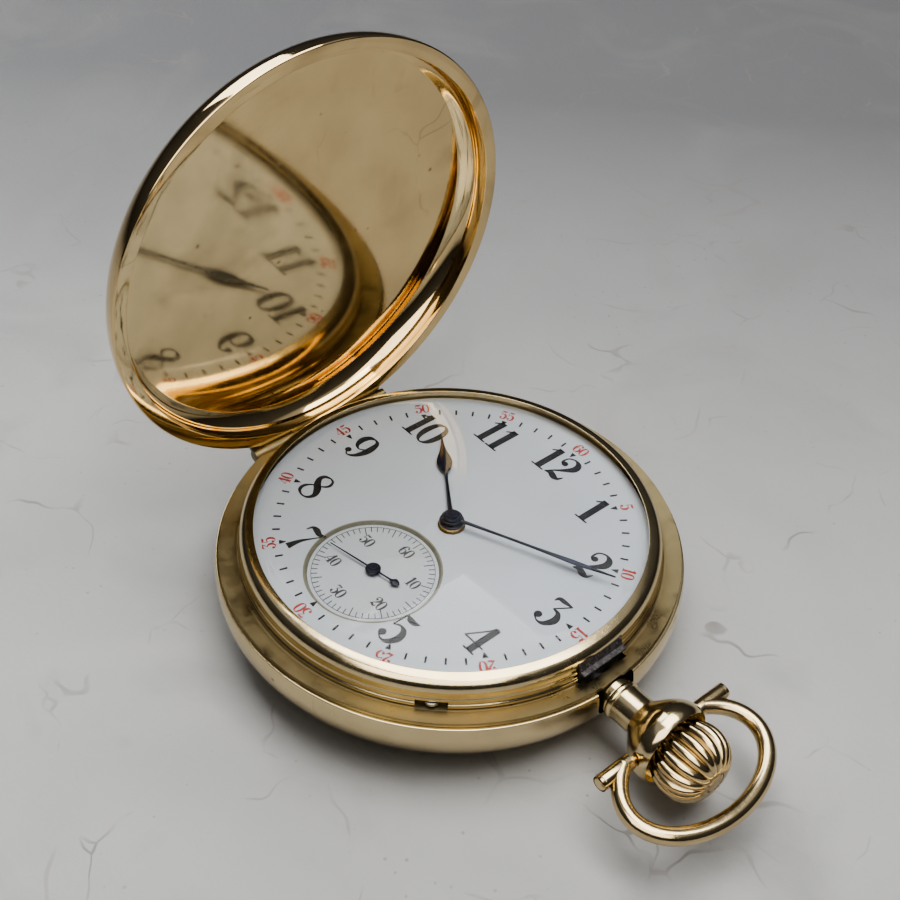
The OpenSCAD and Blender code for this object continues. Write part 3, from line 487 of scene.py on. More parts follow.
def nickel(name):
    """Movement plate with soft polishing stripes and edge wear."""
    m = Nodes(name)
    wave = m.add("ShaderNodeTexWave", wave_type="BANDS", bands_direction="X")
    mapping = m.add("ShaderNodeMapping")
    mapping.inputs["Rotation"].default_value = (0, 0, 0.6)
    m.link(m.coords, mapping.inputs["Vector"])
    m.link(mapping.outputs["Vector"], wave.inputs["Vector"])
    wave.inputs["Scale"].default_value = 260
    wave.inputs["Distortion"].default_value = 0.4
    stripe = wave.outputs["Fac"]
    base = m.mix(stripe, (0.66, 0.65, 0.61), (0.54, 0.53, 0.50))
    base = m.mix(m.math("MULTIPLY", m.crevice(0.5), 0.5), base, (0.12, 0.09, 0.05))
    m.set("Base Color", base)
    m.set("Metallic", 1.0)
    m.set("Roughness", m.ramp(stripe, 0, 1, 0.22, 0.36))
    m.bump(m.math("ADD", stripe, m.noise(2400, 3, stretch=(1, 12, 1))), 0.12, 0.01)
    return m.material


def gilt(name):
    """Gilt brass of the wheels."""
    m = Nodes(name)
    cloud = m.noise(500, 4)
    base = m.mix(m.ramp(cloud, 0.35, 0.65, 0, 1), (0.75, 0.53, 0.22), (0.62, 0.42, 0.17))
    base = m.mix(m.math("MULTIPLY", m.crevice(0.3), 0.6), base, (0.12, 0.07, 0.02))
    m.set("Base Color", base)
    m.set("Metallic", 1.0)
    m.set("Roughness", m.ramp(m.noise(1700, 3), 0.3, 0.7, 0.22, 0.38))
    m.bump(m.noise(3500, 3), 0.1, 0.01)
    return m.material


def ruby(name):
    """Synthetic ruby of the jewels and pallet stones."""
    m = Nodes(name)
    m.set("Base Color", m.mix(m.noise(900, 2), (0.55, 0.02, 0.07), (0.75, 0.06, 0.14)))
    m.set("Roughness", m.ramp(m.noise(1500, 2), 0.3, 0.7, 0.05, 0.14))
    m.set("Transmission Weight", 0.4)
    m.set("Coat Weight", 0.6)
    return m.material


def floor_material():
    """Pale painted surface with painted shade that darkens it away from the viewer, standing for light falling
    off, and faint scuffs, scratches and specks.
    """
    m = Nodes("pale_floor")
    scuff = m.ramp(m.noise(38, 8, distortion=1.2), 0.50, 0.72, 0, 0.38)
    cloud = m.ramp(m.noise(24, 7, distortion=0.6), 0.3, 0.7, 0, 1)
    base = m.mix(cloud, (0.47, 0.465, 0.455), (0.38, 0.38, 0.375))
    split = m.add("ShaderNodeSeparateXYZ")
    m.link(m.coords, split.inputs[0])
    away = m.math("SUBTRACT", split.outputs["Y"], split.outputs["X"])
    # Painted shade: the colour darkens away from the viewer, standing for the light that falls off towards the
    # back
    base = m.mix(m.ramp(away, -0.02, 0.17, 0, 0.9), base, (0.12, 0.12, 0.125))
    base = m.mix(scuff, base, (0.22, 0.215, 0.21))
    hairs = m.math("MAXIMUM", m.broken_lines(31, 0.010), m.broken_lines(63, 0.014))
    hairs = m.math("MULTIPLY", hairs, 0.75)
    specks = m.math("MULTIPLY", m.spots(520, 0.12), m.ramp(m.noise(50, 4), 0.45, 0.65, 0, 0.6))
    base = m.mix(hairs, base, (0.20, 0.185, 0.17))
    m.set("Base Color", m.mix(specks, base, (0.16, 0.13, 0.11)))
    m.set("Roughness", m.ramp(cloud, 0, 1, 0.5, 0.62))
    m.bump(m.math("ADD", m.noise(1300, 8), m.noise(120, 5)), 0.5, 0.12)
    return m.material


CASE_GOLD = gold("case_gold")
LID_GOLD = gold("lid_gold", colour=(0.74, 0.56, 0.30), rough=0.045, tarnish=0.9, scratch=0.03, blotch=0.3)
# Painted shade: the case gold again, painted about three times darker, standing for the shade and dark reflections
# on the case centre's ledge, the front joint pin and the lid's leaf and knuckles
SHADED_LEDGE_GOLD = gold("painted_shade_gold", colour=(0.22, 0.18, 0.10), rough=0.36, tarnish=0.9, scratch=0.2, blotch=0.3)
CROWN_GOLD = gold("crown_gold", colour=(0.66, 0.52, 0.30), rough=0.12, tarnish=1.0, scratch=0.1)
CUVETTE_GOLD = gold("cuvette_gold", colour=(0.72, 0.58, 0.34), rough=0.1, tarnish=0.5, scratch=0.08)
STEEL = steel("ground_steel")
DARK_STEEL = pitted_steel("catch_steel")
BLUED = blued("blued_steel")
ENAMEL = enamel("dial_enamel")
SECONDS_ENAMEL = enamel("seconds_enamel", colour=(0.58, 0.605, 0.635))
# Painted shade: a dark olive film for the sloped wall of the seconds well, standing for the shade in the step
PAINTED_WELL_SHADE = ink("painted_well_shade", (0.22, 0.21, 0.15), fade=0.15)
BLACK_INK = ink("black_ink", (0.012, 0.012, 0.014), fade=0.10)
GREY_INK = ink("grey_ink", (0.06, 0.06, 0.065), fade=0.25)
RED_INK = ink("red_ink", (0.42, 0.045, 0.035), fade=0.3)
GLASS = clear_glass("crystal_glass")
NICKEL = nickel("striped_nickel")
GILT = gilt("gilt_brass")
RUBY = ruby("ruby_jewel")

SLOT_LOOKS = {
    "case_gold": CASE_GOLD, "crown_gold": CROWN_GOLD, "cuvette_gold": CUVETTE_GOLD, "steel": STEEL,
    "dark_steel": DARK_STEEL, "blued_steel": BLUED, "nickel": NICKEL, "movement_brass": GILT,
    "enamel": ENAMEL, "seconds_enamel": SECONDS_ENAMEL, "crystal": GLASS, "ruby": RUBY,
}


def dress_cad_nodes():
    """Every carried-over CAD node takes the look of its record slot, except the case centre and the front joint
    pin, which take the darker gold of painted shade.
    """
    for part in frame["record"]["subparts"]:
        shape = frame["nodes"][part["node"]]
        look = SLOT_LOOKS[part["material_slot"]]
        # The case centre's ledge and the front joint pin get painted shade: a far darker copy of the gold
        if part["node"] in ("case_centre", "front_hinge_pin"):
            look = SHADED_LEDGE_GOLD
        shape.data.materials.clear()
        shape.data.materials.append(look)


# ------------------------------------------------------------------ gold shells


def lid_outline():
    """Section of the shut lid: rim, rounded side, domed outside, stepped and nearly flat inside."""
    side = 4.5
    top = DIAL_Z + 3.7
    lean = 3.4
    wall = LID_R - 1
    rim_bore = 23.06
    points = [(rim_bore, LID_RIM), (LID_R - 0.1, LID_RIM)]
    points += arc((LID_R - side, LID_RIM + 0.15), side, 0, 90 - lean)
    points += dome(0, LID_R - side + 0.2, top, -341)[::-1]
    points += dome(0, 21.9, top - 0.6, -228)
    points += [(22.35, DIAL_Z + 1.78), (22.9, DIAL_Z + 1.4), (23.3, DIAL_Z + 0.85), (23.55, DIAL_Z + 0.2)]
    points += [(wall, DIAL_Z - 0.4), (wall, DIAL_Z - 0.8), (rim_bore, DIAL_Z - 0.95)]
    return fillet([Vector(p) for p in points], 0.1)


def open_lid_matrix():
    """Swings a lid that was drawn shut to where it lies at rest, open."""
    place = Matrix.Translation(LID_JOINT * MM)
    return place @ Matrix.Rotation(math.radians(-LID_OPEN), 4, "Y") @ place.inverted()


def front_lid():
    """Lid with its flat leaf and the two knuckles that turn with it."""
    bm = bmesh.new()
    revolve(bm, lid_outline(), steps=360)
    piece = finish_mesh("front_lid_shell", bm, LID_GOLD, "front_cover")

    def past_the_joint(bm):
        block(bm, (-BEYOND, -BEYOND, 0), (LID_JOINT.x, BEYOND, BEYOND))

    carve(piece, past_the_joint)
    leaf = bmesh.new()
    half_leaf = 9.2
    block(leaf, (LID_JOINT.x, -half_leaf, LID_RIM), (LID_JOINT.x + 0.7, half_leaf, LID_RIM + 0.85))
    bmesh.ops.bevel(leaf, geom=leaf.edges[:], offset=0.1, segments=3, affect="EDGES")
    # The leaf and the knuckles get painted shade: the darker copy of the gold
    leaf_piece = finish_mesh("front_lid_leaf", leaf, SHADED_LEDGE_GOLD, "front_cover")
    knuckle_r = 0.75
    gap = 0.05
    tubes = bmesh.new()
    for i in (1, 3):
        bar_y(tubes, LID_JOINT.x, LID_JOINT.z, knuckle_r, KNUCKLES[i] + gap, KNUCKLES[i + 1] - gap)
    tube_piece = finish_mesh("front_lid_knuckles", tubes, SHADED_LEDGE_GOLD, "front_cover")

    def room_for_case_knuckles(bm):
        for i in (0, 2, 4):
            bar_y(bm, LID_JOINT.x, LID_JOINT.z, knuckle_r + 0.11, KNUCKLES[i] - gap, KNUCKLES[i + 1] + gap)

    carve(piece, room_for_case_knuckles)
    carve(leaf_piece, room_for_case_knuckles)
    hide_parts("front_lid")
    for shape in (piece, leaf_piece, tube_piece):
        shape.data.transform(open_lid_matrix())


def bezel():
    """Snapped-on ring: foot, rounded side, lip over the crystal, seat for the crystal, and bore."""
    foot = DIAL_Z - 1.8
    foot_in, foot_out = 22.35, 22.95
    roll = 1.52
    lip = 21.0
    seat = 21.88
    bore = 21.65
    points = [(foot_in, foot), (foot_out, foot), (foot_out, foot + 0.3), (22.75, foot + 0.5),
              (22.72, DIAL_Z - 0.9), (22.6, DIAL_Z - 0.66)]
    points += arc((21.1, DIAL_Z - 0.15), roll, 0, 62, 16)
    points += [(lip, DIAL_Z + 1.36), (lip, DIAL_Z + 1.2), (21.6, DIAL_Z + 1.08), (seat, DIAL_Z + 1.05),
               (seat, DIAL_Z + 0.7), (bore, DIAL_Z + 0.6), (bore, DIAL_Z - 0.95), (foot_in, DIAL_Z - 1)]
    bm = bmesh.new()
    revolve(bm, fillet([Vector(p) for p in points], 0.09), steps=360)
    piece = finish_mesh("bezel_ring", bm, CASE_GOLD, "case")

    def slots(bm):
        below = 5
        outside = 25
        catch_half = 3.05
        lever_half = 1.6
        block(bm, (21.45, -catch_half, below), (outside, catch_half, DIAL_Z + 0.4))
        notch = block(bm, (20, -lever_half, below), (outside, lever_half, DIAL_Z - 1.1))
        to_lever = Matrix.Rotation(math.radians(-45), 3, "Z")
        bmesh.ops.rotate(bm, cent=(0, 0, 0), matrix=to_lever, verts=notch)

    carve(piece, slots)
    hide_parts("bezel")


def catch_block():
    """Catch that fills the bezel's slot, with a small ledge that holds the lid."""
    low, high = box_mm("lock_catch")
    half = 2.9
    top = DIAL_Z + 0.3
    face = 22.8
    nose = DIAL_Z - 0.55
    nose_thick = 0.23
    profile = [(low.x, low.z), (low.x, top), (face - 0.35, top), (face, nose + 0.04), (high.x, nose),
               (high.x, nose - nose_thick), (face, nose - nose_thick), (face, low.z)]
    bm = bmesh.new()
    solid(bm, [[bm.verts.new((x, y, z)) for x, z in profile] for y in (-half, half)])
    piece = finish_mesh("catch_block", bm, DARK_STEEL, "catch")
    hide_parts("lock_catch")


def crystal():
    """Domed glass with a flat rim that sits under the bezel's lip."""
    r = 21.8
    rim_low = DIAL_Z + 0.74
    points = [(r, rim_low), (r, DIAL_Z + 1.01)]
    points += [(21.1, DIAL_Z + 1.06), (20.6, DIAL_Z + 1.2), (20.4, DIAL_Z + 1.42), (20.1, DIAL_Z + 1.62)]
    points += dome(0, 19.75, DIAL_Z + 2.75, -210)[::-1]
    points += dome(0, 19.5, DIAL_Z + 2.25, -220)
    points += [(20.1, DIAL_Z + 1.1), (20.8, rim_low)]
    bm = bmesh.new()
    revolve(bm, [Vector(p) for p in points])
    piece = finish_mesh("crystal_dome", bm, GLASS, "case", fold=math.radians(50))
    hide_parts("crystal")


def back_outline():
    """Section of the back lid: flat rest, shallow dome and round side up to the seam."""
    dome_r = 243
    rest = 8
    low = 4.8
    outside = 5.5
    inside = outside - SHEET
    centre = (BAND_R - outside, BAND_Z)
    seam = DIAL_Z - 2.18
    end = math.degrees(math.asin((seam - BAND_Z) / outside))
    inner_end = math.degrees(math.asin((seam - BAND_Z) / inside))
    points = [Vector((0, 0))]
    points += dome(rest, centre[0] + outside * math.sin(math.radians(low)), 0, dome_r, rest)
    points += arc(centre, outside, low - 90, end, 48) + arc(centre, inside, inner_end, low - 90, 32)
    points += dome(rest, centre[0] + inside * math.sin(math.radians(low)), SHEET, dome_r, rest)[::-1]
    points += [Vector((0, SHEET))]
    return fillet(points, 0.08)


def back_lid():
    """Back shell with room for the pendant and both joints, and its own knuckle."""
    neck_room = 2.4
    half_joint = 6.8
    half_knuckle = 2.35
    wall_in = -24.9
    above = 12
    bm = bmesh.new()
    revolve(bm, back_outline(), steps=360)
    piece = finish_mesh("back_lid_shell", bm, CASE_GOLD, "back_cover")

    def straight_room(bm):
        block(bm, (20, -neck_room, BAND_Z), (BEYOND, neck_room, 10))
        block(bm, (-BEYOND, -9.9, BACK_JOINT.z + 0.95), (-20, 9.9, above))
        block(bm, (-BEYOND, -half_joint, 0), (wall_in, half_joint, above))
        block(bm, (-BEYOND, -7.6, BACK_JOINT.z), (BACK_JOINT.x + 1, 7.6, above))

    def round_room(bm):
        made = bmesh.ops.create_cone(
            bm, cap_ends=True, segments=64, radius1=neck_room, radius2=neck_room, depth=10)["verts"]
        to_x = Matrix.Rotation(math.radians(90), 3, "Y")
        bmesh.ops.rotate(bm, cent=(0, 0, 0), matrix=to_x, verts=made)
        bmesh.ops.translate(bm, vec=(26, 0, BAND_Z), verts=made)

    def barrel_room(bm):
        bar_y(bm, BACK_JOINT.x, BACK_JOINT.z, 0.95, -half_joint, half_joint)

    for room in (straight_room, round_room, barrel_room):
        carve(piece, room)
    tube = bmesh.new()
    bar_y(tube, BACK_JOINT.x, BACK_JOINT.z, 0.8, -half_knuckle, half_knuckle)
    leaf = block(tube, (wall_in + 0.02, -2.3, BACK_JOINT.z - 1.6), (BACK_JOINT.x, 2.3, BACK_JOINT.z))
    edges = list({e for v in leaf for e in v.link_edges})
    bmesh.ops.bevel(tube, geom=edges, offset=0.1, segments=2, affect="EDGES")
    tube_piece = finish_mesh("back_lid_knuckle", tube, CASE_GOLD, "back_cover")
    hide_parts("back_lid")


def pendant():
    """Neck with a slim collar, and a bell that is hollow for the crown; outline of (x, radius) points."""
    neck = 2.0
    bell = 4.4
    bore = 1.4
    start = 24.95
    bell_start = 28.75
    bell_step = 0.335
    line = [(start, bore), (start, neck), (25.6, neck)]
    line += [(p.x, p.y) for p in arc((26.0, neck - 0.22), 0.4, 150, 30, 8)]
    line += [(26.4, neck)]
    for i in range(11):
        flare = math.sin(math.radians(i * 9)) ** 1.05
        line.append((bell_start + bell_step * i, neck + (bell - neck) * flare))
    line += [(32.4, bell + 0.03), (32.7, bell), (33.0, bell - 0.12), (33.2, bell - 0.25), (33.1, 4.14),
             (31.75, 4.1), (31.65, bore)]
    bm = bmesh.new()
    revolve(bm, fillet([Vector((r, x)) for x, r in line], 0.08), steps=128)
    along_x(bm, (0, 0, BAND_Z))
    piece = finish_mesh("pendant_bell", bm, CASE_GOLD, "case")
    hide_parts("pendant")


def crown():
    """Fluted crown: rounded ridges that run over the shoulder to a small flat button."""
    flutes = 18
    per_flute = 14
    steps = flutes * per_flute
    depth = 0.5
    # A little longer and wider than the CAD crown, to follow the photo
    x0 = CROWN_LOW.x
    x1 = CROWN_HIGH.x + 0.35
    r = (CROWN_HIGH.y - CROWN_LOW.y) / 2 + 0.05
    waist = 0.75
    side = 2.4
    button = 1.2
    shoulder = x0 + side
    line = [(shoulder - side * (1 - i / 8), r - waist * (1 - i / 8) ** 2, min(1, i / 2)) for i in range(9)]
    for i in range(1, 15):
        a = math.radians(90 * i / 14)
        x = shoulder + (x1 - shoulder) * math.sin(a)
        line.append((x, button + (r - button) * math.cos(a), 1 - 0.25 * i / 14))
    bm = bmesh.new()

    def ring(x, radii):
        around = [polar(radius, 360 * k / steps) for k, radius in enumerate(radii)]
        return [bm.verts.new((x, q.x, BAND_Z + q.y)) for q in around]

    rows = []
    for x, radius, amount in line:
        deepest = depth * amount * min(1.0, radius / r + 0.1)
        radii = []
        for k in range(steps):
            ridge = abs(math.cos(math.pi * k / per_flute))
            radii.append(max(radius - deepest * (1 - ridge) ** 1.25, 0.5))
        rows.append(ring(x, radii))
    for radius, x in ((button - 0.12, x1 - 0.12), (button - 0.2, x1), (button - 0.5, x1 + 0.02)):
        rows.append(ring(x, [radius] * steps))
    solid(bm, rows)
    piece = finish_mesh("fluted_crown", bm, CROWN_GOLD, "crown_and_stem", fold=math.radians(60))
    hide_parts("crown")


def both_sides(near, far):
    """The stretch between two distances from the middle, on the left and on the right."""
    return (-far, -near), (near, far)


def bow():
    """Oval wire that swells a little at its far end and runs into two short barrels."""
    half_width = 8.63
    reach = 9.66
    deep = 5.46
    centre = reach - deep
    wire = 0.875
    swell = 0.05
    droop = math.radians(10)
    start = math.acos(-centre / deep)
    steps = 120
    around = 32
    bm = bmesh.new()
    rows = []
    for i in range(steps + 1):
        a = start * (1 - 2 * i / steps)
        point = Vector((centre + deep * math.cos(a), half_width * math.sin(a), 0))
        tangent = Vector((-deep * math.sin(a), half_width * math.cos(a), 0)).normalized()
        side = Vector((tangent.y, -tangent.x, 0))
        r = wire * (1 + swell * math.cos(a))
        row = []
        for k in range(around):
            q = polar(r, 360 * k / around)
            row.append(bm.verts.new(point + side * q.x + Vector((0, 0, q.y))))
        rows.append(row)
    solid(bm, rows)
    for low, high in both_sides(4.62, 8.4):
        bar_y(bm, 0, 0, 0.82, low, high, edge=0.1)
    turn = Matrix.Rotation(droop, 4, "Y")
    bmesh.ops.transform(bm, matrix=Matrix.Translation(BOW_PIVOT) @ turn, verts=bm.verts)
    piece = finish_mesh("bow_wire", bm, CROWN_GOLD, "bow_ring")
    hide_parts("bow")


def bow_screws():
    """Round-headed screws on which the bow swings."""
    bm = bmesh.new()
    for low, high in both_sides(3.6, 8.5):
        bar_y(bm, BOW_PIVOT.x, BOW_PIVOT.z, 0.4, low, high)
    for low, high in both_sides(8.3, 8.8):
        bar_y(bm, BOW_PIVOT.x, BOW_PIVOT.z, 0.8, low, high, edge=0.4)
    piece = finish_mesh("bow_screw_pair", bm, CROWN_GOLD, "case", fold=math.radians(50))
    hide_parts("bow_screws")


# ------------------------------------------------------------------ dial print

# Digits as pen strokes: (x, y, pen width) on a body one unit high. A dot has one place and its own width.
DOT = "dot"
LINE = "line"
CURVE = "curve"
SIX = [
    (DOT, [(0.50, 0.84, 0.15)]),
    (CURVE, [(0.52, 0.88, 0.04), (0.38, 0.985, 0.035), (0.20, 0.87, 0.09), (0.10, 0.60, 0.16),
             (0.10, 0.34, 0.17), (0.17, 0.09, 0.10), (0.33, 0.015, 0.035)]),
    (CURVE, [(0.33, 0.015, 0.035), (0.50, 0.10, 0.12), (0.57, 0.30, 0.16), (0.50, 0.52, 0.10),
             (0.34, 0.60, 0.03), (0.17, 0.50, 0.04)]),
]
DIGITS = {
    "0": [(CURVE, [(0.32, 0.985, 0.035), (0.14, 0.84, 0.12), (0.08, 0.5, 0.16), (0.14, 0.16, 0.12),
                   (0.32, 0.015, 0.035), (0.50, 0.16, 0.12), (0.56, 0.5, 0.16), (0.50, 0.84, 0.12),
                   (0.32, 0.985, 0.035)])],
    "1": [(LINE, [(0.26, 0.0, 0.17), (0.26, 1.0, 0.17)]),
          (LINE, [(0.04, 0.80, 0.03), (0.24, 0.97, 0.05)]),
          (LINE, [(0.04, 0.016, 0.035), (0.48, 0.016, 0.035)])],
    "2": [(DOT, [(0.21, 0.66, 0.15)]),
          (CURVE, [(0.20, 0.60, 0.04), (0.10, 0.68, 0.05), (0.13, 0.89, 0.04), (0.33, 0.985, 0.05),
                   (0.52, 0.88, 0.15), (0.55, 0.68, 0.17), (0.38, 0.44, 0.09), (0.18, 0.22, 0.04),
                   (0.05, 0.03, 0.03)]),
          (CURVE, [(0.06, 0.05, 0.04), (0.20, 0.12, 0.13), (0.38, 0.06, 0.15), (0.52, 0.07, 0.08),
                   (0.60, 0.22, 0.02)])],
    "3": [(CURVE, [(0.07, 0.80, 0.02), (0.12, 0.93, 0.09), (0.30, 0.95, 0.10), (0.55, 0.97, 0.03)]),
          (LINE, [(0.54, 0.97, 0.03), (0.27, 0.60, 0.03)]),
          (CURVE, [(0.25, 0.595, 0.03), (0.46, 0.55, 0.10), (0.56, 0.33, 0.17), (0.45, 0.08, 0.11),
                   (0.27, 0.015, 0.035), (0.09, 0.11, 0.04)]),
          (DOT, [(0.14, 0.18, 0.17)])],
    "4": [(LINE, [(0.47, 1.0, 0.04), (0.04, 0.30, 0.03)]),
          (LINE, [(0.01, 0.285, 0.035), (0.68, 0.285, 0.035)]),
          (LINE, [(0.46, 0.0, 0.17), (0.46, 0.98, 0.15)]),
          (LINE, [(0.27, 0.016, 0.035), (0.65, 0.016, 0.035)])],
    "5": [(CURVE, [(0.13, 0.99, 0.03), (0.28, 0.93, 0.13), (0.46, 0.93, 0.11), (0.58, 1.0, 0.02)]),
          (LINE, [(0.13, 0.98, 0.035), (0.11, 0.54, 0.03)]),
          (CURVE, [(0.11, 0.54, 0.03), (0.29, 0.635, 0.05), (0.49, 0.55, 0.13), (0.56, 0.32, 0.17),
                   (0.45, 0.08, 0.11), (0.27, 0.015, 0.035), (0.09, 0.11, 0.04)]),
          (DOT, [(0.14, 0.18, 0.17)])],
    "6": SIX,
    "7": [(CURVE, [(0.05, 0.76, 0.02), (0.10, 0.92, 0.07), (0.26, 0.94, 0.14), (0.44, 0.90, 0.11),
                   (0.60, 0.99, 0.02)]),
          (CURVE, [(0.60, 0.99, 0.025), (0.44, 0.68, 0.035), (0.30, 0.38, 0.09), (0.24, 0.03, 0.18)])],
    "8": [(CURVE, [(0.32, 0.985, 0.035), (0.15, 0.90, 0.09), (0.12, 0.75, 0.12), (0.25, 0.58, 0.16),
                   (0.44, 0.44, 0.17), (0.56, 0.26, 0.12), (0.50, 0.08, 0.07), (0.32, 0.015, 0.035),
                   (0.12, 0.10, 0.08), (0.07, 0.27, 0.08), (0.18, 0.45, 0.035), (0.40, 0.59, 0.03),
                   (0.53, 0.76, 0.07), (0.47, 0.93, 0.06), (0.32, 0.985, 0.035)])],
    "9": [(kind, [(0.65 - x, 1 - y, w) for x, y, w in points]) for kind, points in SIX],
}
# Advance of a digit, and how the pen's widths grow: thick strokes by a factor, thin ones by a constant
WIDTHS = {"1": 0.50}
BODY = 0.66
WEIGHT = 1.22
HAIRLINE = 0.012
THICK_PEN = 0.07


def smooth(points, n):
    """Catmull-Rom curve through the given points."""
    if n < 2 or len(points) < 3:
        return [Vector(p) for p in points]
    line = [Vector(p) for p in points]
    line = [2 * line[0] - line[1]] + line + [2 * line[-1] - line[-2]]
    out = []
    for a, b, c, d in zip(line, line[1:], line[2:], line[3:]):
        for k in range(n):
            t = k / n
            out.append(0.5 * (2 * b + (c - a) * t + (2 * a - 5 * b + 4 * c - d) * t * t
                              + (3 * b - a - 3 * c + d) * t ** 3))
    return out + [line[-2]]


def slab(bm, outline, z0, z1):
    """A thin closed plate between two heights; the outline is its two long sides."""
    left, right = outline
    rows = []
    for a, b in zip(left, right):
        rows.append([bm.verts.new((a.x, a.y, z1)), bm.verts.new((b.x, b.y, z1)),
                     bm.verts.new((b.x, b.y, z0)), bm.verts.new((a.x, a.y, z0))])
    solid(bm, rows)


def disc(bm, centre, r, z0, z1):
    """A small round plate."""
    n = 20
    places = [centre + polar(r, 360 * k / n) for k in range(n)]
    solid(bm, [[bm.verts.new((*place, z)) for place in places] for z in (z0, z1)])


def stroke(bm, kind, points, place, z0, z1, n):
    """Draws one pen stroke; place turns glyph coordinates into dial coordinates and gives the scale."""
    to_dial, scale = place
    if kind == DOT:
        x, y, width = points[0]
        disc(bm, to_dial(Vector((x, y))), width * WEIGHT / 2 * scale, z0, z1)
        return
    line = smooth(points, n if kind == CURVE else 1)
    left = []
    right = []
    for i, p in enumerate(line):
        before = line[max(i - 1, 0)]
        after = line[min(i + 1, len(line) - 1)]
        along = Vector((after.x - before.x, after.y - before.y)).normalized()
        across = Vector((-along.y, along.x)) * (p.z * WEIGHT if p.z > THICK_PEN else p.z + HAIRLINE) / 2
        here = Vector((p.x, p.y))
        left.append(to_dial(here + across))
        right.append(to_dial(here - across))
    slab(bm, (left, right), z0, z1)


def write_number(bm, text, centre, height, z0, z1, turn=0.0, n=7, squeeze=1.0):
    """Writes a number centred on a place, turned by an angle in degrees."""
    total = sum(WIDTHS.get(c, BODY) for c in text) * squeeze
    spin = Matrix.Rotation(math.radians(turn), 2)
    pen = -total / 2
    for c in text:
        offset = pen

        def to_dial(p, offset=offset):
            return centre + spin @ Vector(((p.x * squeeze + offset) * height, (p.y - 0.5) * height))

        for kind, points in DIGITS[c]:
            stroke(bm, kind, points, (to_dial, height), z0, z1, n)
        pen += WIDTHS.get(c, BODY) * squeeze


def tick(bm, centre, angle, r0, r1, width, z0, z1, tip=None):
    """A radial mark; tip gives the width at the inner end."""
    out = polar(1, angle)
    across = Vector((-out.y, out.x))
    inner = width if tip is None else tip
    left = [centre + out * r0 + across * inner / 2, centre + out * r1 + across * width / 2]
    right = [centre + out * r0 - across * inner / 2, centre + out * r1 - across * width / 2]
    slab(bm, (left, right), z0, z1)


PRINT_LIFT = 0.004
PRINT_THICK = 0.02
PIP_R = 18.2


def dial_print():
    """Hour numbers, five-minute numbers and pips, and minute ticks."""
    z0 = DIAL_Z + PRINT_LIFT
    z1 = z0 + PRINT_THICK
    middle = Vector((0, 0))
    black = bmesh.new()
    red = bmesh.new()
    for hour in range(1, 13):
        angle = 90 - 30 * hour
        tick(black, middle, angle, PIP_R - 0.52, PIP_R + 0.22, 0.62, z0, z1, tip=0.06)
        write_number(red, str(5 * hour), polar(PIP_R * 1.072, angle), 1.45, z0, z1, turn=angle - 90, n=4,
                     squeeze=0.92)
        if hour != 6:
            write_number(black, str(hour), polar(PIP_R * 0.866, angle), 4.15, z0, z1, squeeze=0.96)
    for minute in range(60):
        if minute % 5:
            tick(black, middle, 6 * minute, PIP_R * 1.004, PIP_R * 1.05, 0.22, z0, z1)
    finish_mesh("dial_print_black", black, BLACK_INK, "case")
    finish_mesh("dial_print_red", red, RED_INK, "case")


def seconds_print():
    """Seconds track, its numbers, and painted shade on the edge of the well that the seconds dial lies in: a dark
    film over the well's sloped wall.
    """
    low, high = box_mm("seconds_dial")
    radius = (high.x - low.x) / 2
    z0 = high.z + PRINT_LIFT
    z1 = z0 + PRINT_THICK
    centre = Vector((SECONDS.x, SECONDS.y))
    bm = bmesh.new()
    rim = radius - 0.35
    for second in range(60):
        length = 0.7 if second % 5 else 1.15
        tick(bm, centre, 6 * second, rim - length, rim, 0.10, z0, z1)
    around = [polar(rim, 3 * k) + centre for k in range(121)]
    inside = [polar(rim - 0.06, 3 * k) + centre for k in range(121)]
    slab(bm, (around, inside), z0, z1)
    for i in range(6):
        text = "60" if i == 0 else str(10 * i)
        write_number(bm, text, centre + polar(radius * 0.655, 90 - 60 * i), 1.35, z0, z1, n=4, squeeze=0.9)
    finish_mesh("seconds_print", bm, GREY_INK, "case")
    # Painted shade: a dark sloped film over the well's wall, where the step lies in shade
    ring = bmesh.new()
    foot = DIAL_Z - 0.3
    outline = [(radius + 0.02, foot + 0.02), (radius + 0.1, foot), (radius + 0.43, DIAL_Z + 0.01),
               (radius + 0.24, DIAL_Z + 0.03)]
    revolve(ring, [Vector(p) for p in outline], steps=160)
    bmesh.ops.translate(ring, vec=(SECONDS.x, SECONDS.y, 0), verts=ring.verts)
    finish_mesh("seconds_painted_well_shade", ring, PAINTED_WELL_SHADE, "case")


# ------------------------------------------------------------------ hands


def hand(name, rows, angle, pivot, thick, body, hubs, node):
    """A hand from rows of (distance, half width), crowned along its middle, with stacked hub discs."""
    z = box_mm(node)[0].z
    bm = bmesh.new()
    # Shares of the half width and of the thickness, from one edge over the crown to the other
    section = [(1, 0), (0.55, 0.8), (0, 1), (-0.55, 0.8), (-1, 0)]
    sections = []
    for p in smooth([(d, w, 0) for d, w in rows], 8):
        w = max(p.y, 0.03)
        sections.append([bm.verts.new((p.x, w * across, thick * up)) for across, up in section])
    solid(bm, sections)
    for r, z0, z1 in hubs:
        edge = min(0.08, (z1 - z0) * 0.35)
        outline = [(0, z0), (r, z0), (r, z1 - edge), (r - edge, z1), (0, z1)]
        revolve(bm, [Vector(p) for p in outline], steps=64)
    turn = Matrix.Rotation(math.radians(angle), 4, "Z")
    bmesh.ops.transform(bm, matrix=Matrix.Translation((pivot.x, pivot.y, z)) @ turn, verts=bm.verts)
    piece = finish_mesh(name, bm, BLUED, body, fold=math.radians(40))
    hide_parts(node)


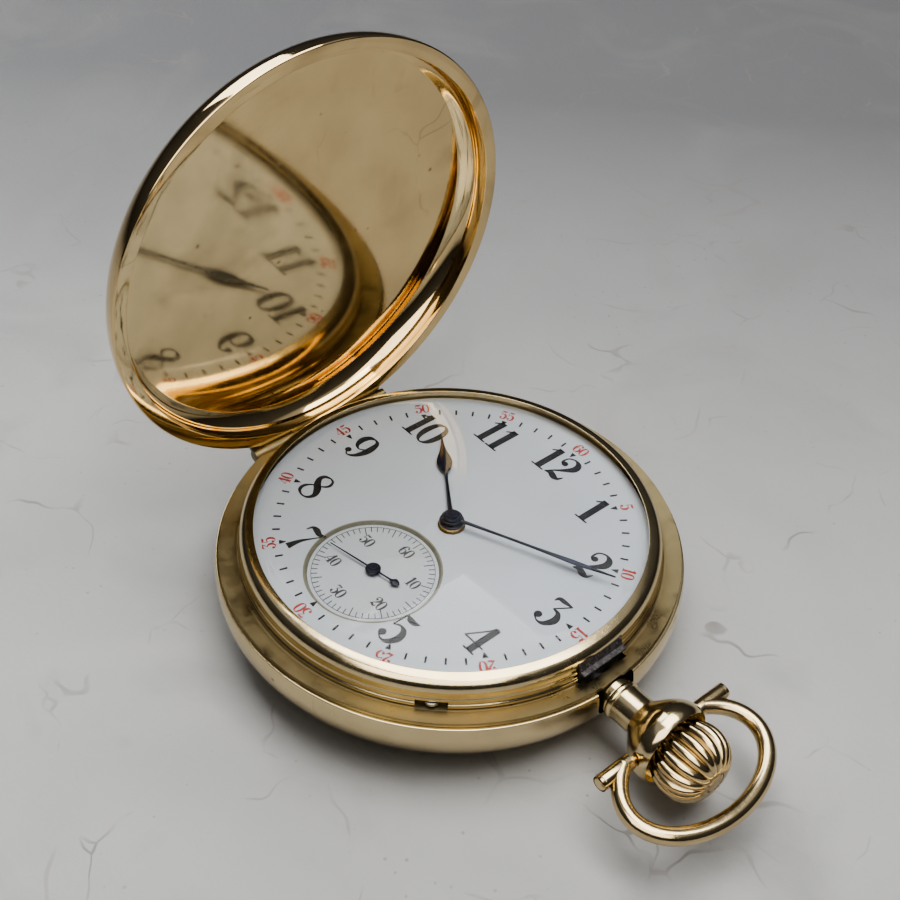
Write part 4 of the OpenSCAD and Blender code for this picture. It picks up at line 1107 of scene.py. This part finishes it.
def hands():
    """Pear-shaped hour hand, slim minute hand and seconds hand with a spade tail, at 10:11:43."""
    hour, minute, second = 10, 11, 43
    middle = Vector((0, 0))
    pear = [(0.6, 0.32), (4, 0.2), (7.5, 0.2), (8.1, 0.42), (8.8, 0.76), (9.5, 0.88), (10.3, 0.76),
            (11.2, 0.46), (12.2, 0.24), (13.1, 0.13), (14.0, 0.04)]
    leaf = [(0.6, 0.26), (5, 0.16), (9.5, 0.17), (12, 0.26), (14, 0.34), (16, 0.22), (17.4, 0.11),
            (18.6, 0.04)]
    needle = [(-3.5, 0.04), (-3.2, 0.3), (-2.75, 0.46), (-2.4, 0.18), (-1.8, 0.1), (0, 0.12), (3, 0.09),
              (5.85, 0.04)]
    hand("pear_hour_hand", pear, 90 - 30 * hour - 0.5 * minute, middle, 0.24, "hour_train",
         [(1.35, -0.02, 0.3)], "hour_hand")
    hand("leaf_minute_hand", leaf, 90 - 6 * minute, middle, 0.22, "minute_train",
         [(1.15, -0.02, 0.22), (0.95, 0.2, 0.42), (0.6, 0.4, 0.52)], "minute_hand")
    hand("small_seconds_hand", needle, 90 - 6 * second, SECONDS, 0.12, "second_train",
         [(0.8, -0.02, 0.2), (0.35, 0.18, 0.3)], "seconds_hand")


# ------------------------------------------------------------------ floor, light and camera


def floor():
    """A flat floor under the watch, kept out of the model."""
    bm = bmesh.new()
    bmesh.ops.create_grid(bm, x_segments=8, y_segments=8, size=1.5)
    mesh = bpy.data.meshes.new("floor")
    bm.to_mesh(mesh)
    bm.free()
    mesh.materials.append(floor_material())
    ground = bpy.data.objects.new("floor", mesh)
    bpy.context.scene.collection.objects.link(ground)


def soft_light(name, place, target, size, power, colour):
    """An area light at a place, in millimetres, that faces a target."""
    data = bpy.data.lights.new(name, "AREA")
    data.shape = "RECTANGLE"
    data.size, data.size_y = (s * MM for s in size)
    data.energy = power
    data.color = colour
    lamp = bpy.data.objects.new(name, data)
    bpy.context.scene.collection.objects.link(lamp)
    lamp.location = Vector(place) * MM
    lamp.rotation_euler = (Vector(target) - Vector(place)).to_track_quat("-Z", "Y").to_euler()
    return lamp


def lights():
    """Two soft lamps and a card that is seen only as a reflection in the gold."""
    soft_light("overhead", (0, 60, 420), (0, 0, 0), (420, 300), 2.3, (1.0, 0.99, 0.97))
    soft_light("window", (-360, 60, 330), (0, 0, 20), (200, 320), 1.0, (0.95, 0.98, 1.0))
    card = soft_light("viewer_side_card", (170, -190, 330), (0, 0, 10), (440, 300), 1.5, (1.0, 0.97, 0.92))
    card.visible_diffuse = False


def studio_world():
    """Grey room: dark at the horizon, brighter overhead."""
    world = bpy.data.worlds.new("studio")
    bpy.context.scene.world = world
    world.use_nodes = True
    tree = world.node_tree
    back = tree.nodes["Background"]
    coords = tree.nodes.new("ShaderNodeTexCoord")
    split = tree.nodes.new("ShaderNodeSeparateXYZ")
    ramp = tree.nodes.new("ShaderNodeValToRGB")
    tree.links.new(coords.outputs["Generated"], split.inputs[0])
    tree.links.new(split.outputs["Z"], ramp.inputs[0])
    stops = ramp.color_ramp.elements
    stops[0].position = 0.0
    stops[0].color = (0.04, 0.04, 0.045, 1)
    stops[1].position = 0.66
    stops[1].color = (0.13, 0.132, 0.14, 1)
    overhead = stops.new(0.76)
    overhead.color = (0.60, 0.61, 0.63, 1)
    tree.links.new(ramp.outputs[0], back.inputs["Color"])
    back.inputs["Strength"].default_value = 0.75


def camera():
    """Stands off the pendant's side, looking down at the dial, with a slight roll."""
    place = Vector((73.2, -67.1, DIAL_Z + 98.9))
    heading = math.radians(137.819)
    tilt = math.radians(-41.615)
    roll = math.radians(2.915)
    data = bpy.data.cameras.new("camera")
    data.lens = 52.2
    data.sensor_width = 36
    data.clip_start = 0.005
    data.clip_end = 20
    eye = bpy.data.objects.new("camera", data)
    bpy.context.scene.collection.objects.link(eye)
    level = Matrix.Rotation(heading - math.pi / 2, 4, "Z") @ Matrix.Rotation(math.pi / 2 + tilt, 4, "X")
    eye.matrix_world = Matrix.Translation(place * MM) @ level @ Matrix.Rotation(roll, 4, "Z")
    bpy.context.scene.camera = eye


def view_settings():
    """Colour handling of the render."""
    scene = bpy.context.scene
    scene.view_settings.view_transform = "AgX"
    scene.view_settings.look = "AgX - Medium High Contrast"
    scene.view_settings.exposure = -0.2


dress_cad_nodes()
front_lid()
bezel()
crystal()
catch_block()
back_lid()
pendant()
crown()
bow()
bow_screws()
dial_print()
seconds_print()
hands()
floor()
lights()
studio_world()
camera()
view_settings()
